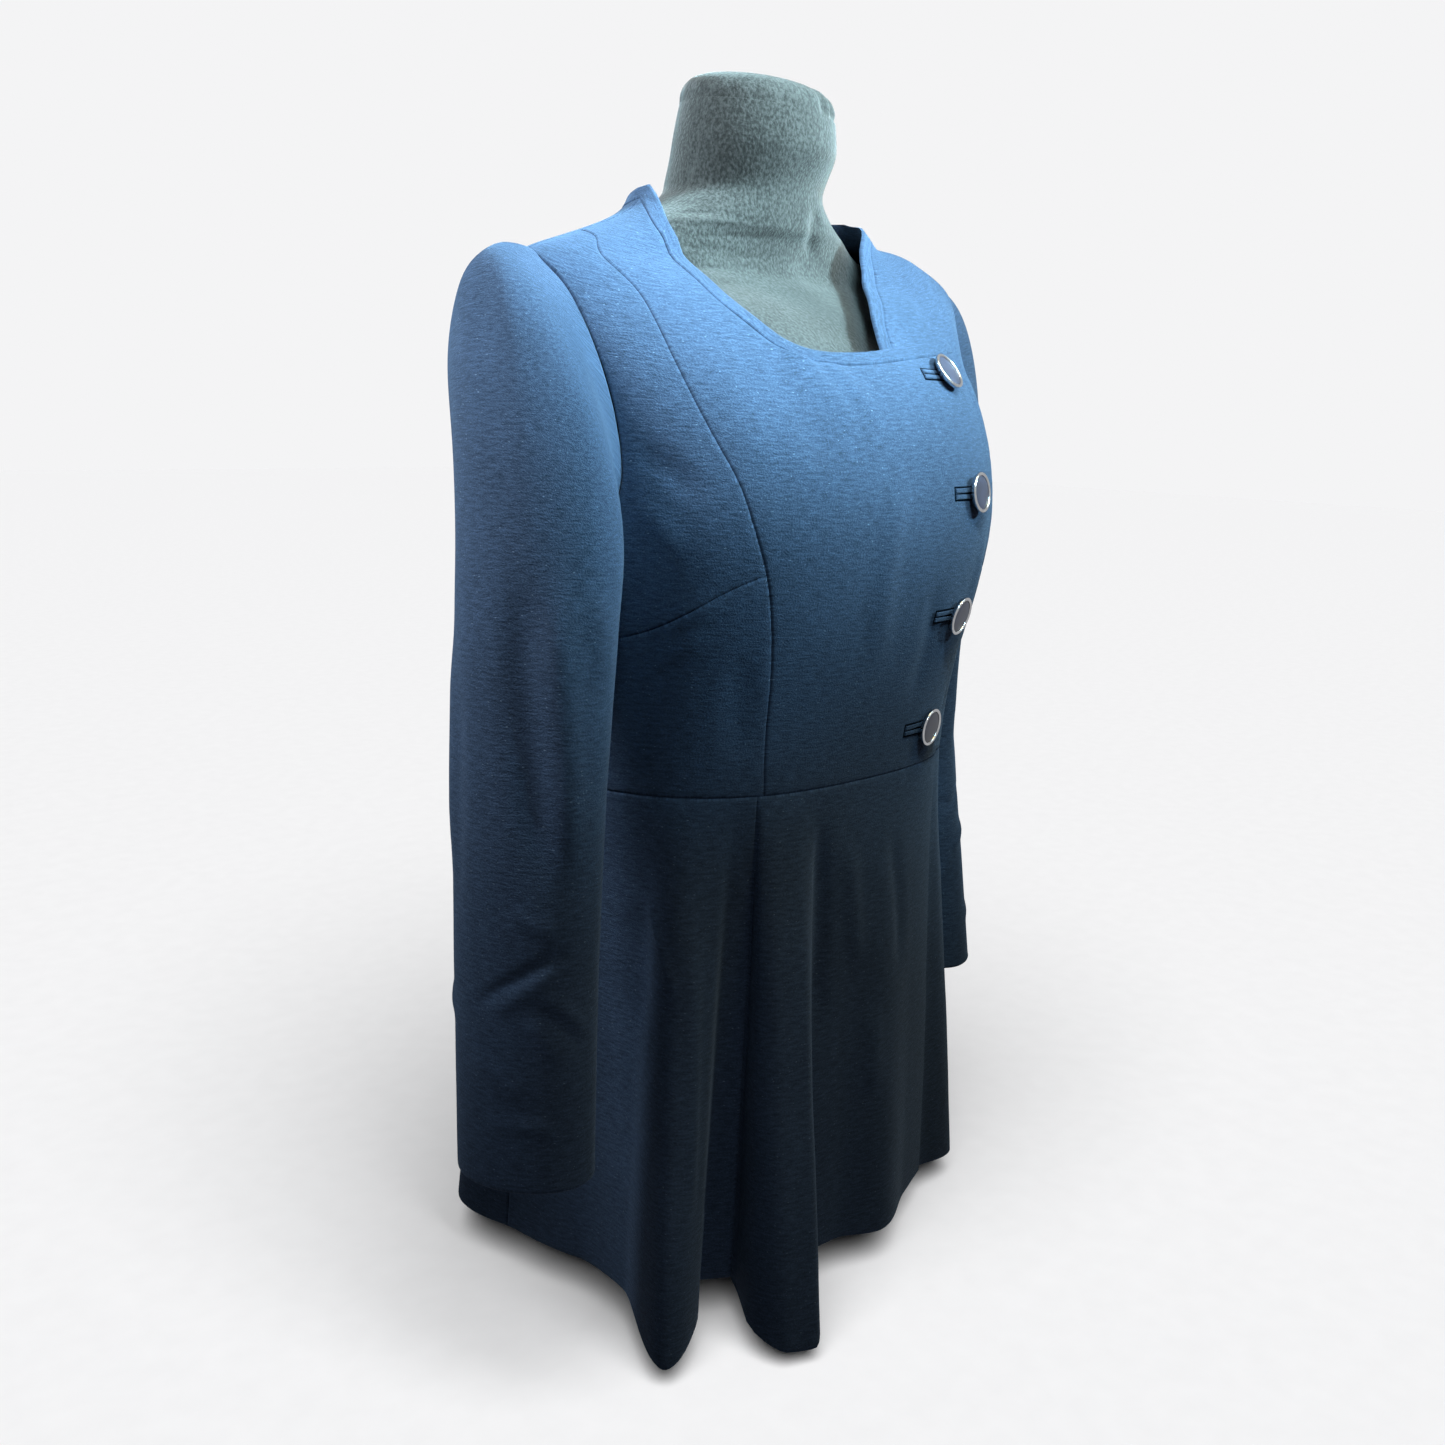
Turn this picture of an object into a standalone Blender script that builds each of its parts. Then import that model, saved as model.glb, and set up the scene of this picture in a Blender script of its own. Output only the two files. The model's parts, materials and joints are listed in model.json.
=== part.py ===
"""An asymmetric coat worn on a low dress form.

Metres, +Z up. The coat's front faces -Y and its wearer's left is at +X. The floor is z = 0, and the dress
form's post stands on the origin. Heights in the tables are measured from the waist seam, and angles run
round the body in degrees from the front centre, positive towards the wearer's left.
"""
import math

import bpy
import numpy as np
from mathutils import Matrix, Vector

# Driving dimensions
WAIST_HEIGHT = 0.398
CLOTH = 0.0015
BAND_CLOTH = 0.0020
SEAM = 0.0003
BAND_WIDTH = 0.0115
BAND_RAISE = 0.0003
UNDERLAP_INSET = 0.0027
UNDERLAP_ANGLE = -3.0
CLOSURE_ANGLE = 34.5
SIDE_ANGLE = 92.0
PLEAT_ANGLE = 31.5
BUTTON_ANGLE = 22.5
BUTTON_RADIUS = 0.0145
BUTTON_THICKNESS = 0.0042
BUTTON_STAND = 0.0032
BUTTON_RIM = 0.0024
SHANK_RADIUS = 0.0026
BUTTON_HEIGHTS = (0.291, 0.208, 0.119, 0.031)
WELT_LENGTH = 0.033
WELT_WIDTH = 0.0026
WELT_GAP = 0.0005
WELT_RAISE = 0.0010
BASE_RADIUS = 0.098
BASE_THICKNESS = 0.012
BASE_BEVEL = 0.003
POST_RADIUS = 0.016
FORM_SEGMENTS = 28
CAP_TILT = 0.10

# The body's rings. Each row is a horizontal section of the coat's outer face.
RING_COLUMNS = ("height", "half_width", "front", "back", "centre_y", "front_square", "back_square")
TORSO = np.array((
    (-0.060, 0.181, 0.160, 0.130, 0.017, 2.5, 2.3),
    (0.000, 0.176, 0.154, 0.119, 0.012, 2.6, 2.3),
    (0.060, 0.178, 0.160, 0.120, 0.010, 2.6, 2.3),
    (0.120, 0.184, 0.171, 0.125, 0.006, 2.6, 2.4),
    (0.180, 0.190, 0.177, 0.130, 0.002, 2.6, 2.5),
    (0.235, 0.194, 0.170, 0.132, 0.002, 2.5, 2.6),
    (0.290, 0.198, 0.145, 0.125, 0.006, 2.4, 2.6),
    (0.330, 0.200, 0.110, 0.105, 0.010, 2.2, 2.4),
    (0.352, 0.200, 0.080, 0.082, 0.012, 2.1, 2.2),
    (0.364, 0.190, 0.062, 0.067, 0.012, 2.0, 2.0),
    (0.374, 0.163, 0.056, 0.062, 0.012, 2.0, 2.0),
    (0.384, 0.134, 0.053, 0.060, 0.012, 2.0, 2.0),
    (0.394, 0.110, 0.054, 0.060, 0.012, 2.0, 2.0),
    (0.404, 0.096, 0.056, 0.060, 0.012, 2.0, 2.0),
    (0.418, 0.088, 0.056, 0.060, 0.013, 2.0, 2.0),
    (0.434, 0.084, 0.056, 0.060, 0.014, 2.0, 2.0),
))
SKIRT = np.array((
    (0.000, 0.176, 0.154, 0.119, 0.012, 2.6, 2.3),
    (-0.060, 0.180, 0.158, 0.126, 0.016, 2.4, 2.3),
    (-0.120, 0.184, 0.164, 0.133, 0.021, 2.3, 2.2),
    (-0.200, 0.191, 0.173, 0.140, 0.028, 2.2, 2.2),
    (-0.280, 0.197, 0.181, 0.146, 0.034, 2.1, 2.1),
    (-0.368, 0.203, 0.188, 0.150, 0.040, 2.0, 2.0),
))
FORM = np.array((
    (-0.150, 0.146, 0.118, 0.106, 0.020, 2.2, 2.2),
    (-0.080, 0.146, 0.118, 0.104, 0.016, 2.2, 2.2),
    (0.000, 0.134, 0.108, 0.092, 0.010, 2.3, 2.2),
    (0.060, 0.140, 0.122, 0.096, 0.008, 2.3, 2.2),
    (0.120, 0.152, 0.140, 0.106, 0.006, 2.3, 2.3),
    (0.180, 0.165, 0.153, 0.116, 0.004, 2.4, 2.4),
    (0.235, 0.174, 0.146, 0.121, 0.004, 2.4, 2.5),
    (0.290, 0.182, 0.120, 0.116, 0.008, 2.3, 2.5),
    (0.327, 0.188, 0.090, 0.096, 0.011, 2.2, 2.3),
    (0.347, 0.188, 0.066, 0.074, 0.012, 2.1, 2.2),
    (0.3605, 0.176, 0.053, 0.060, 0.012, 2.0, 2.0),
    (0.3715, 0.150, 0.050, 0.056, 0.011, 2.0, 2.0),
    (0.3816, 0.121, 0.051, 0.055, 0.009, 2.0, 2.0),
    (0.3926, 0.097, 0.056, 0.055, 0.006, 2.0, 2.0),
    (0.405, 0.076, 0.058, 0.058, 0.006, 2.0, 2.0),
    (0.420, 0.062, 0.057, 0.056, 0.0035, 2.0, 2.0),
    (0.446, 0.0615, 0.062, 0.056, -0.004, 2.0, 2.0),
    (0.472, 0.0575, 0.058, 0.055, -0.008, 2.0, 2.0),
))
CAP_COLUMNS = ("height", "radius")
CAP = ((0.4723, 0.0565), (0.4780, 0.0560), (0.4850, 0.0535), (0.4900, 0.0480), (0.4930, 0.0380),
       (0.4945, 0.0220))

# How far the wearer's left shoulder hangs from the mirror image of the right one, at its neck and its tip,
# and the share of its height above a level by which the neck's side lies flatter
LEFT_SETTLE, LEFT_SETTLE_ABOVE = 0.42, 0.400
LEFT_NECK_SHIFT = np.array((0.008, -0.026, -0.008))
LEFT_TIP_SHIFT = np.array((0.008, -0.028, 0.004))

# Seams of the right half of the bodice, as (angle, height)
PRINCESS = ((-30, 0), (-31, 0.041), (-32, 0.085), (-34, 0.127), (-36, 0.157), (-39, 0.190), (-41, 0.214),
            (-44, 0.240), (-46.5, 0.269), (-48, 0.299), (-48.5, 0.327), (-52, 0.354), (-68, 0.374),
            (-90, 0.3795))
PRINCESS_CUTS = (4, 5, 9)
PRINCESS_COUNTS = (5, 2, 3, 6)
BUST_SEAM = ((-92, 0.098), (-78, 0.104), (-61, 0.114), (-49, 0.134), (-42, 0.148), (-36, 0.157))
SIDE_SEAM = ((-92, 0), (-92, 0.050), (-92, 0.098), (-92, 0.182))
ARMHOLE_FRONT = ((-92, 0.182), (-78, 0.186), (-66, 0.203), (-64, 0.232), (-64, 0.273), (-65.5, 0.310),
                 (-69, 0.340), (-76, 0.3555), (-90, 0.3635))
ARMHOLE_BACK = ((-92, 0.182), (-105, 0.187), (-114, 0.203), (-117, 0.235), (-117, 0.270), (-114, 0.310),
                (-109.5, 0.338), (-103, 0.3545), (-90, 0.3635))
ARMHOLE_COUNTS = (4, 9)
SHOULDER = ((-90, 0.3635), (-90, 0.3795), (-90, 0.4065))
NECK_FRONT = ((-90, 0.4065), (-64, 0.391), (-45, 0.378), (-33, 0.356), (-31, 0.334), (-28, 0.318),
              (-24, 0.303), (-18, 0.2955), (-10, 0.294), (2, 0.297), (20, 0.305), (CLOSURE_ANGLE, 0.310))
NECK_FRONT_CUT = 7
NECK_LEFT = ((-90, 0.4065), (-56, 0.400), (-37, 0.389), (-27, 0.377), (-20.5, 0.365), (-16, 0.352),
             (-13, 0.339), (-10.8, 0.328), (-9.6, 0.317), (-8, 0.304), (-4, 0.290), (3, 0.279))
NECK_LEFT_CUT = 9
UNDERLAP_TOP = ((0, 20, CLOSURE_ANGLE), (0.311, 0.319, 0.324))
NECK_BACK = ((-180, 0.3945), (-150, 0.396), (-118, 0.401), (-90, 0.4065))

# Folds of the skirt round its waist. The fold is how far the hem stands out from the plain ring.
FOLD_COLUMNS = ("waist_angle", "hem_shift", "fold", "rise")
FOLDS = (
    (-180, 0.0, 0.000, 0.000),
    (-158, 0.0, 0.012, 0.000),
    (-136, 0.0, -0.004, 0.000),
    (-112, 0.0, 0.008, 0.000),
    (-88, 3.0, -0.012, 0.000),
    (-68, 2.0, -0.008, 0.000),
    (-57, 4.0, 0.016, -0.004),
    (-47, 3.0, 0.088, -0.016),
    (-39.5, 0.5, 0.050, -0.008),
    (-36, -1.5, 0.008, 0.000),
    (-31.5, 0.5, 0.008, 0.000),
    (-30, -0.5, 0.054, -0.010),
    (-27, 1.0, 0.080, -0.017),
    (-22, 0.5, 0.080, -0.019),
    (-14, 0.5, 0.000, 0.000),
    (-4, 0.0, -0.002, 0.000),
    (9, 0.0, 0.013, -0.003),
    (23, 1.0, 0.004, -0.004),
    (35, 2.5, 0.010, -0.005),
    (48, 2.0, 0.040, -0.010),
    (64, 0.0, 0.040, -0.008),
    (84, -2.0, 0.004, 0.000),
    (104, 0.0, 0.016, 0.000),
    (128, 0.0, -0.004, 0.000),
    (156, 0.0, 0.012, 0.000),
    (180, 0.0, 0.000, 0.000),
)

SKIRT_ROWS = 8

# Sections down each sleeve below the armhole. The centre is measured outwards from the middle of the coat.
SLEEVE_COLUMNS = ("height", "centre_out", "centre_y", "half_width", "half_depth", "turn")
SLEEVES = {
    "right": np.array((
        (0.150, 0.235, -0.058, 0.041, 0.058, 18),
        (0.020, 0.250, -0.069, 0.038, 0.053, 22),
        (-0.110, 0.260, -0.079, 0.036, 0.049, 27),
        (-0.237, 0.266, -0.087, 0.034, 0.047, 30),
    )),
    "left": np.array((
        (0.150, 0.233, 0.006, 0.041, 0.058, 18),
        (0.020, 0.240, 0.012, 0.038, 0.053, 22),
        (-0.110, 0.249, -0.001, 0.036, 0.049, 27),
        (-0.232, 0.254, -0.020, 0.034, 0.047, 30),
    )),
}
SLEEVE_STEPS = (5, 8)
CAP_REACH = {"right": (1.12, 1.0), "left": (0.55, 0.80)}

NAVY = (0.018, 0.052, 0.105, 1.0)
JERSEY = (0.012, 0.013, 0.015, 1.0)
SILVER = (0.70, 0.70, 0.71, 1.0)
ENAMEL = (0.022, 0.026, 0.045, 1.0)
STEEL = (0.30, 0.31, 0.33, 1.0)


def spline(knots, values):
    """A natural cubic spline through rows of values, as a function of an array of positions."""
    knots = np.asarray(knots, float)
    values = np.asarray(values, float)
    count, gaps = len(knots), np.diff(knots)
    matrix, right = np.eye(count), np.zeros_like(values)
    for i in range(1, count - 1):
        matrix[i, i - 1:i + 2] = gaps[i - 1], 2 * (gaps[i - 1] + gaps[i]), gaps[i]
        right[i] = 6 * ((values[i + 1] - values[i]) / gaps[i] - (values[i] - values[i - 1]) / gaps[i - 1])
    bends = np.linalg.solve(matrix, right)

    def at(where):
        where = np.asarray(where, float)
        i = np.clip(np.searchsorted(knots, where) - 1, 0, count - 2)
        gap = gaps[i]
        below = ((knots[i + 1] - where) / gap)[..., None]
        above = ((where - knots[i]) / gap)[..., None]
        bend = (below ** 3 - below) * bends[i] + (above ** 3 - above) * bends[i + 1]
        return below * values[i] + above * values[i + 1] + bend * gap[..., None] ** 2 / 6

    return at


def eased(knots, values):
    """A curve through rows of values that never swings past them, as a function of positions."""
    knots = np.asarray(knots, float)
    values = np.asarray(values, float)
    gaps = np.diff(knots)[:, None]
    slopes = np.diff(values, axis=0) / gaps
    turns = np.zeros_like(values)
    product = slopes[:-1] * slopes[1:]
    safe = np.where(product > 0, slopes[:-1] + slopes[1:], 1)
    turns[1:-1] = np.where(product > 0, 2 * product / safe, 0)

    def at(where):
        where = np.asarray(where, float)
        i = np.clip(np.searchsorted(knots, where) - 1, 0, len(knots) - 2)
        gap = gaps[i]
        t = (where - knots[i])[..., None] / gap
        start = (2 * t ** 3 - 3 * t ** 2 + 1) * values[i] + (t ** 3 - 2 * t ** 2 + t) * gap * turns[i]
        return start + (3 * t ** 2 - 2 * t ** 3) * values[i + 1] + (t ** 3 - t ** 2) * gap * turns[i + 1]

    return at


def smooth(value):
    """A soft step from 0 to 1 as the value runs from 0 to 1."""
    value = np.clip(value, 0, 1)
    return value * value * (3 - 2 * value)


def ring_point(row, angle):
    """The point at an angle in radians on a ring that a table row describes."""
    height, width, front, back, centre, front_square, back_square = np.moveaxis(row, -1, 0)
    across, ahead = np.sin(angle), np.cos(angle)
    square = np.where(ahead > 0, front_square, back_square)
    depth = np.where(ahead > 0, front, back)
    size = (np.abs(across) ** square + np.abs(ahead) ** square) ** (1 / square)
    return np.stack([width * across / size, centre - depth * ahead / size, height], -1)


torso_row = spline(range(len(TORSO)), TORSO)
skirt_row = spline(np.linspace(0, 1, len(SKIRT)), SKIRT)
fold_row = eased([fold[0] for fold in FOLDS], [fold[1:] for fold in FOLDS])
LEVELS = np.linspace(0, len(TORSO) - 1, 700)
LEVEL_HEIGHTS = torso_row(LEVELS)[:, 0]


def place(angle, height):
    """A place on the bodice, as (angle in degrees, level in the table's rows)."""
    return np.array([angle, np.interp(height, LEVEL_HEIGHTS, LEVELS)])


def places(rows):
    return np.array([place(*row) for row in rows])


def turned_forward(points):
    """The points moved as the wearer's left shoulder hangs, forward and low at the neck."""
    x, y, z = np.moveaxis(points, -1, 0)
    share = smooth((z - 0.29) / 0.08) * smooth((x + 0.02) / 0.11) * (1 - smooth((y - 0.012) / 0.05))
    outer = smooth((x - 0.09) / 0.05)[..., None]
    beside = smooth((x - 0.02) / 0.05) * (1 - smooth(y / 0.03))
    drop = LEFT_SETTLE * np.maximum(z - LEFT_SETTLE_ABOVE, 0) * beside
    shift = share[..., None] * (outer * LEFT_TIP_SHIFT + (1 - outer) * LEFT_NECK_SHIFT)
    return points + shift - drop[..., None] * (0, 0, 1)


def torso(spots):
    """Points of the bodice's outer face at places of (angle, level)."""
    return turned_forward(ring_point(torso_row(spots[..., 1]), np.radians(spots[..., 0])))


def skirt(spots):
    """Points of the skirt's outer face at places of (waist angle, -1 at the hem to 0 at the waist)."""
    down = -spots[..., 1]
    shift, fold, rise = np.moveaxis(fold_row(spots[..., 0]), -1, 0)
    angle = np.radians(spots[..., 0] + shift * down)
    point = ring_point(skirt_row(down), angle)
    grown = np.maximum(down, 0) ** 1.15
    out = np.stack([np.sin(angle), -np.cos(angle), 0 * angle], -1)
    return point + out * (fold * grown)[..., None] + np.stack([0 * rise, 0 * rise, rise * grown], -1)


def normals(surface, spots, step=(0.02, 0.0005)):
    """Outward unit normals of a surface at an array of places."""
    across = surface(spots + (step[0], 0)) - surface(spots - (step[0], 0))
    up = surface(spots + (0, step[1])) - surface(spots - (0, step[1]))
    normal = np.cross(across, up)
    return normal / np.linalg.norm(normal, axis=-1, keepdims=True)


def lengths(points):
    """The distance along a path to each of its points."""
    return np.concatenate([[0], np.cumsum(np.linalg.norm(np.diff(points, axis=0), axis=1))])


def even(path, count, surface):
    """The same path in a number of steps of equal length on the surface."""
    reach = lengths(surface(path))
    stops = np.linspace(0, reach[-1], count + 1)
    return np.stack([np.interp(stops, reach, path[:, k]) for k in range(path.shape[1])], -1)


def seam(rows, counts, cuts=(), surface=torso):
    """A smooth seam through rows of places, cut into stretches with the given numbers of steps."""
    points = places(rows)
    reach = lengths(surface(points))
    curve = spline(reach, points)
    stops = [0, *(reach[cut] for cut in cuts), reach[-1]]
    stretches = zip(stops, stops[1:], counts)
    return [even(curve(np.linspace(start, stop, 80)), count, surface) for start, stop, count in stretches]


def straight(start, end, count):
    return start + np.linspace(0, 1, count + 1)[:, None] * (np.asarray(end) - start)


def joined(*paths):
    """Paths end to end as one, with each shared corner once."""
    return np.concatenate([paths[0]] + [path[1:] for path in paths[1:]])


def filled(bottom, top, left, right):
    """A lattice of places filled in between four edges that share their corners."""
    u = np.linspace(0, 1, len(bottom))[None, :, None]
    v = np.linspace(0, 1, len(left))[:, None, None]
    across = (1 - v) * bottom[None] + v * top[None]
    up = (1 - u) * left[:, None] + u * right[:, None]
    corners = ((1 - u) * (1 - v) * bottom[0] + u * (1 - v) * bottom[-1]
               + (1 - u) * v * top[0] + u * v * top[-1])
    return across + up - corners


def mirrored(blocks):
    """The same blocks on the other side of the body."""
    return [block[:, ::-1] * (-1, 1) for block in blocks]


def moved_up(path, distance, surface=torso, steps=6):
    """A path moved across the surface to its own left by a distance."""
    spots = path.copy()
    for _ in range(steps):
        points, normal = surface(spots), normals(surface, spots)
        along = np.gradient(points, axis=0)
        aim = np.cross(normal, along)
        aim *= distance / steps / np.linalg.norm(aim, axis=1, keepdims=True)
        turn = (surface(spots + (0.1, 0)) - surface(spots - (0.1, 0))) / 0.2
        rise = (surface(spots + (0, 0.01)) - surface(spots - (0, 0.01))) / 0.02
        for i, step in enumerate(aim):
            spots[i] += np.linalg.lstsq(np.stack([turn[i], rise[i]], 1), step, rcond=None)[0]
    return spots


def underlap(spots, points):
    """How far the left front lies behind the coat's face, where the right front covers it."""
    angle = np.mod(spots[..., 0] + 180, 360) - 180
    top = np.interp(angle, UNDERLAP_TOP[0], UNDERLAP_TOP[1])
    beside = 1 - smooth((angle - CLOSURE_ANGLE - 0.6) / 8)
    above = 1 - smooth((points[..., 2] - top) / 0.020)
    return UNDERLAP_INSET * beside * above * (angle > UNDERLAP_ANGLE - 10)


def band_underlap(spots, points):
    """The same for the band, whose left half runs on past the back at angles below -180."""
    return underlap(spots, points) * (spots[..., 0] < -180)


def material(name, colour, roughness, metallic=0.0):
    """A Principled material, made once for each name."""
    if name in bpy.data.materials:
        return bpy.data.materials[name]
    made = bpy.data.materials.new(name)
    made.use_nodes = True
    shader = made.node_tree.nodes["Principled BSDF"]
    shader.inputs["Base Color"].default_value = colour
    shader.inputs["Roughness"].default_value = roughness
    shader.inputs["Metallic"].default_value = metallic
    made.diffuse_color = colour
    return made


def add_object(name, mesh, finish):
    """A mesh as a named piece of the coat, smooth but for its sharp edges."""
    mesh.materials.append(finish)
    mesh.shade_smooth()
    mesh.set_sharp_from_angle(angle=math.radians(40))
    piece = bpy.data.objects.new(name, mesh)
    bpy.data.collections["asymmetric_coat"].objects.link(piece)
    return piece


def panel(name, surface, blocks, finish, thick=CLOTH, raise_by=0.0, behind=None, step=(0.02, 0.0005)):
    """A cut piece of cloth: lattices of places as a wall behind the surface, drawn in at its seams."""
    index, spots, quads = {}, [], []
    for block in blocks:
        numbers = np.empty(block.shape[:2], int)
        for cell in np.ndindex(*numbers.shape):
            key = tuple(np.round(block[cell], 5))
            if key not in index:
                index[key] = len(spots)
                spots.append(block[cell])
            numbers[cell] = index[key]
        quads += [(numbers[i, j], numbers[i, j + 1], numbers[i + 1, j + 1], numbers[i + 1, j])
                  for i in range(numbers.shape[0] - 1) for j in range(numbers.shape[1] - 1)]
    spots = np.array(spots)
    points, normal = surface(spots), normals(surface, spots, step)
    if behind:
        points = points - normal * behind(spots, points)[:, None]
    edges = {}
    for quad in quads:
        for a, b in zip(quad, quad[1:] + quad[:1]):
            if (b, a) in edges:
                del edges[b, a]
            else:
                edges[a, b] = True
    inward = {}
    for a, b in edges:
        middle = normal[a] + normal[b]
        aim = np.cross(middle, points[b] - points[a])
        for end in (a, b):
            inward.setdefault(end, []).append(aim / np.linalg.norm(aim))
    outer = points + normal * raise_by
    for spot, aims in inward.items():
        first, second = aims
        outer[spot] += (first + second) / max(1 + first @ second, 0.4) * SEAM / 2
    inner = outer - normal * thick
    count = len(outer)
    faces = [tuple(int(v) for v in quad) for quad in quads]
    faces += [tuple(int(v) + count for v in reversed(quad)) for quad in quads]
    for a, b in edges:
        a, b = int(a), int(b)
        if points[a][2] < points[b][2]:
            faces += [(b, a, b + count), (a, a + count, b + count)]
        else:
            faces += [(b, a, a + count), (b, a + count, b + count)]
    mesh = bpy.data.meshes.new(name)
    mesh.from_pydata(np.concatenate([outer, inner]) + (0, 0, WAIST_HEIGHT), [], faces)
    return add_object(name, mesh, finish)


def lattice(start_u, end_u, start_v, end_v, columns, rows):
    """An even lattice of places between two pairs of values."""
    u, v = np.meshgrid(np.linspace(start_u, end_u, columns + 1), np.linspace(start_v, end_v, rows + 1))
    return np.stack([u, v], -1)


def make_bodice(cloth):
    """The two fronts with their shoulder princess and bust seams, and the two backs."""
    princess = seam(PRINCESS, PRINCESS_COUNTS, PRINCESS_CUTS)
    side_low, side_high = seam(SIDE_SEAM, (5, 2), (2,))
    arm_low, arm_high = seam(ARMHOLE_FRONT, ARMHOLE_COUNTS, (2,))
    back_low, back_high = seam(ARMHOLE_BACK, ARMHOLE_COUNTS, (2,))
    shoulder_out, shoulder_in = seam(SHOULDER, (3, 3), (1,))
    bust = seam(BUST_SEAM, (7,))[0]
    neck_side, neck_low = seam(NECK_FRONT, (6, 9), (NECK_FRONT_CUT,))
    left_side, left_low = seam(NECK_LEFT, (6, 3), (NECK_LEFT_CUT,))
    back_neck = seam(NECK_BACK, (4,))[0]

    def centre(close_angle, neck_beside, neck_along):
        """A front's centre piece: a block up to the chest and a strap beside the neck."""
        foot, chest = princess[0][0], princess[2][-1]
        corner, top = neck_along[0], neck_along[-1]
        chest_line = straight(chest, corner, 3)
        count = 3 + len(neck_along) - 1
        waist = straight(foot, place(close_angle, 0), count)
        edge = even(straight(place(close_angle, 0), top, 60), 10, torso)
        body = filled(waist, joined(chest_line, neck_along), joined(*princess[:3]), edge)
        strap = filled(chest_line, shoulder_in, princess[3], neck_beside[::-1])
        return [body, strap]

    line = straight(arm_low[-1], princess[1][-1], 3)
    upper = [filled(bust, joined(arm_low, line), side_high, princess[1]),
             filled(line, shoulder_out, arm_high, joined(*princess[2:]))]
    lower = [filled(straight(side_low[0], princess[0][0], 7), bust, side_low, princess[0])]
    back_line = straight(place(-180, 0.190), back_low[-1], 10)
    back_top = joined(back_neck, shoulder_in[::-1], shoulder_out[::-1])
    back = [filled(straight(place(-180, 0), side_low[0], 14), joined(back_line, back_low[::-1]),
                   even(straight(place(-180, 0), back_line[0], 60), 7, torso), joined(side_low, side_high)),
            filled(back_line, back_top, even(straight(back_line[0], back_neck[0], 60), 9, torso), back_high)]
    panel("front_right_centre", torso, centre(CLOSURE_ANGLE, neck_side, neck_low), cloth)
    panel("front_right_upper_side", torso, upper, cloth)
    panel("front_right_lower_side", torso, lower, cloth)
    panel("back_right", torso, back, cloth)
    panel("front_left_centre", torso, mirrored(centre(-UNDERLAP_ANGLE, left_side, left_low)), cloth,
          behind=underlap)
    panel("front_left_upper_side", torso, mirrored(upper), cloth, behind=underlap)
    panel("front_left_lower_side", torso, mirrored(lower), cloth, behind=underlap)
    panel("back_left", torso, mirrored(back), cloth)
    make_band(cloth, joined(neck_side, neck_low), joined(left_side, left_low), back_neck)
    return joined(arm_high[::-1], arm_low[::-1], back_low, back_high)


def make_band(cloth, right_neck, left_neck, back_neck):
    """The narrow band round the neck, from the closing corner round the back to the underlap."""
    back = back_neck[::-1]
    left_half = [neck * (-1, 1) - (360, 0) for neck in (back_neck, left_neck)]
    path = joined(right_neck[::-1], back, *left_half)[::-1]
    strip = np.stack([path, moved_up(path, BAND_WIDTH)])
    panel("neck_band", torso, [strip], cloth, BAND_CLOTH, BAND_RAISE, band_underlap)


def make_skirt(cloth):
    """The skirt's six pieces, with the pleat under the right princess seam."""
    for name, start, end, columns in (
            ("skirt_back_right", -180, -SIDE_ANGLE, 14),
            ("skirt_side_right", -SIDE_ANGLE, -PLEAT_ANGLE, 16),
            ("skirt_front_right", -PLEAT_ANGLE, CLOSURE_ANGLE, 20),
            ("skirt_front_left", UNDERLAP_ANGLE, PLEAT_ANGLE, 5),
            ("skirt_side_left", PLEAT_ANGLE, SIDE_ANGLE, 12),
            ("skirt_back_left", SIDE_ANGLE, 180, 14)):
        hidden = underlap if name.endswith("left") and "back" not in name else None
        block = lattice(start, end, -1, 0, columns, SKIRT_ROWS)
        panel(name, skirt, [block], cloth, behind=hidden)


def sleeve_surface(rows, armhole, reach):
    """A sleeve's outer face at places of (step round the armhole, 0 at the cuff to 2 at the armhole)."""
    count = len(armhole) - 1
    wrapped = np.concatenate([armhole[-7:-1], armhole, armhole[1:7]])
    edge = spline(np.arange(len(wrapped)) - 6, wrapped)
    section = spline(np.linspace(1, 0, len(rows))[::-1], rows[::-1])

    def tube(round_angle, along):
        height, out, centre, width, depth, turn = np.moveaxis(section(along), -1, 0)
        turn = np.radians(turn)
        across, ahead = -width * np.cos(round_angle), -depth * np.sin(round_angle)
        return np.stack([-out + across * np.cos(turn) - ahead * np.sin(turn),
                         centre + across * np.sin(turn) + ahead * np.cos(turn), height], -1)

    def at(spots):
        step = np.mod(spots[..., 0], count)
        angle = 2 * math.pi * step / count
        below = tube(angle, np.clip(spots[..., 1], 0, 1))
        hang = tube(angle, np.ones_like(angle)) - tube(angle, np.full_like(angle, 0.98))
        hang /= np.linalg.norm(hang, axis=-1, keepdims=True)
        leave = np.stack([0 * angle - 1, -0.30 * np.sin(angle), 0.16 * np.cos(angle) + 0.04], -1)
        leave /= np.linalg.norm(leave, axis=-1, keepdims=True)
        start, end = edge(step), tube(angle, np.ones_like(angle))
        first = start + leave * (reach[0] * (0.033 + 0.019 * np.cos(angle)))[..., None]
        last = end + hang * (reach[1] * (0.0985 + 0.0865 * np.cos(angle)))[..., None]
        t = np.clip(2 - spots[..., 1], 0, 1)[..., None]
        cap = (1 - t) ** 3 * start + 3 * (1 - t) ** 2 * t * first + 3 * (1 - t) * t ** 2 * last + t ** 3 * end
        return np.where(spots[..., 1:] > 1, cap, below + hang * np.minimum(spots[..., 1:], 0) * 0.4)

    return at


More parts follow.
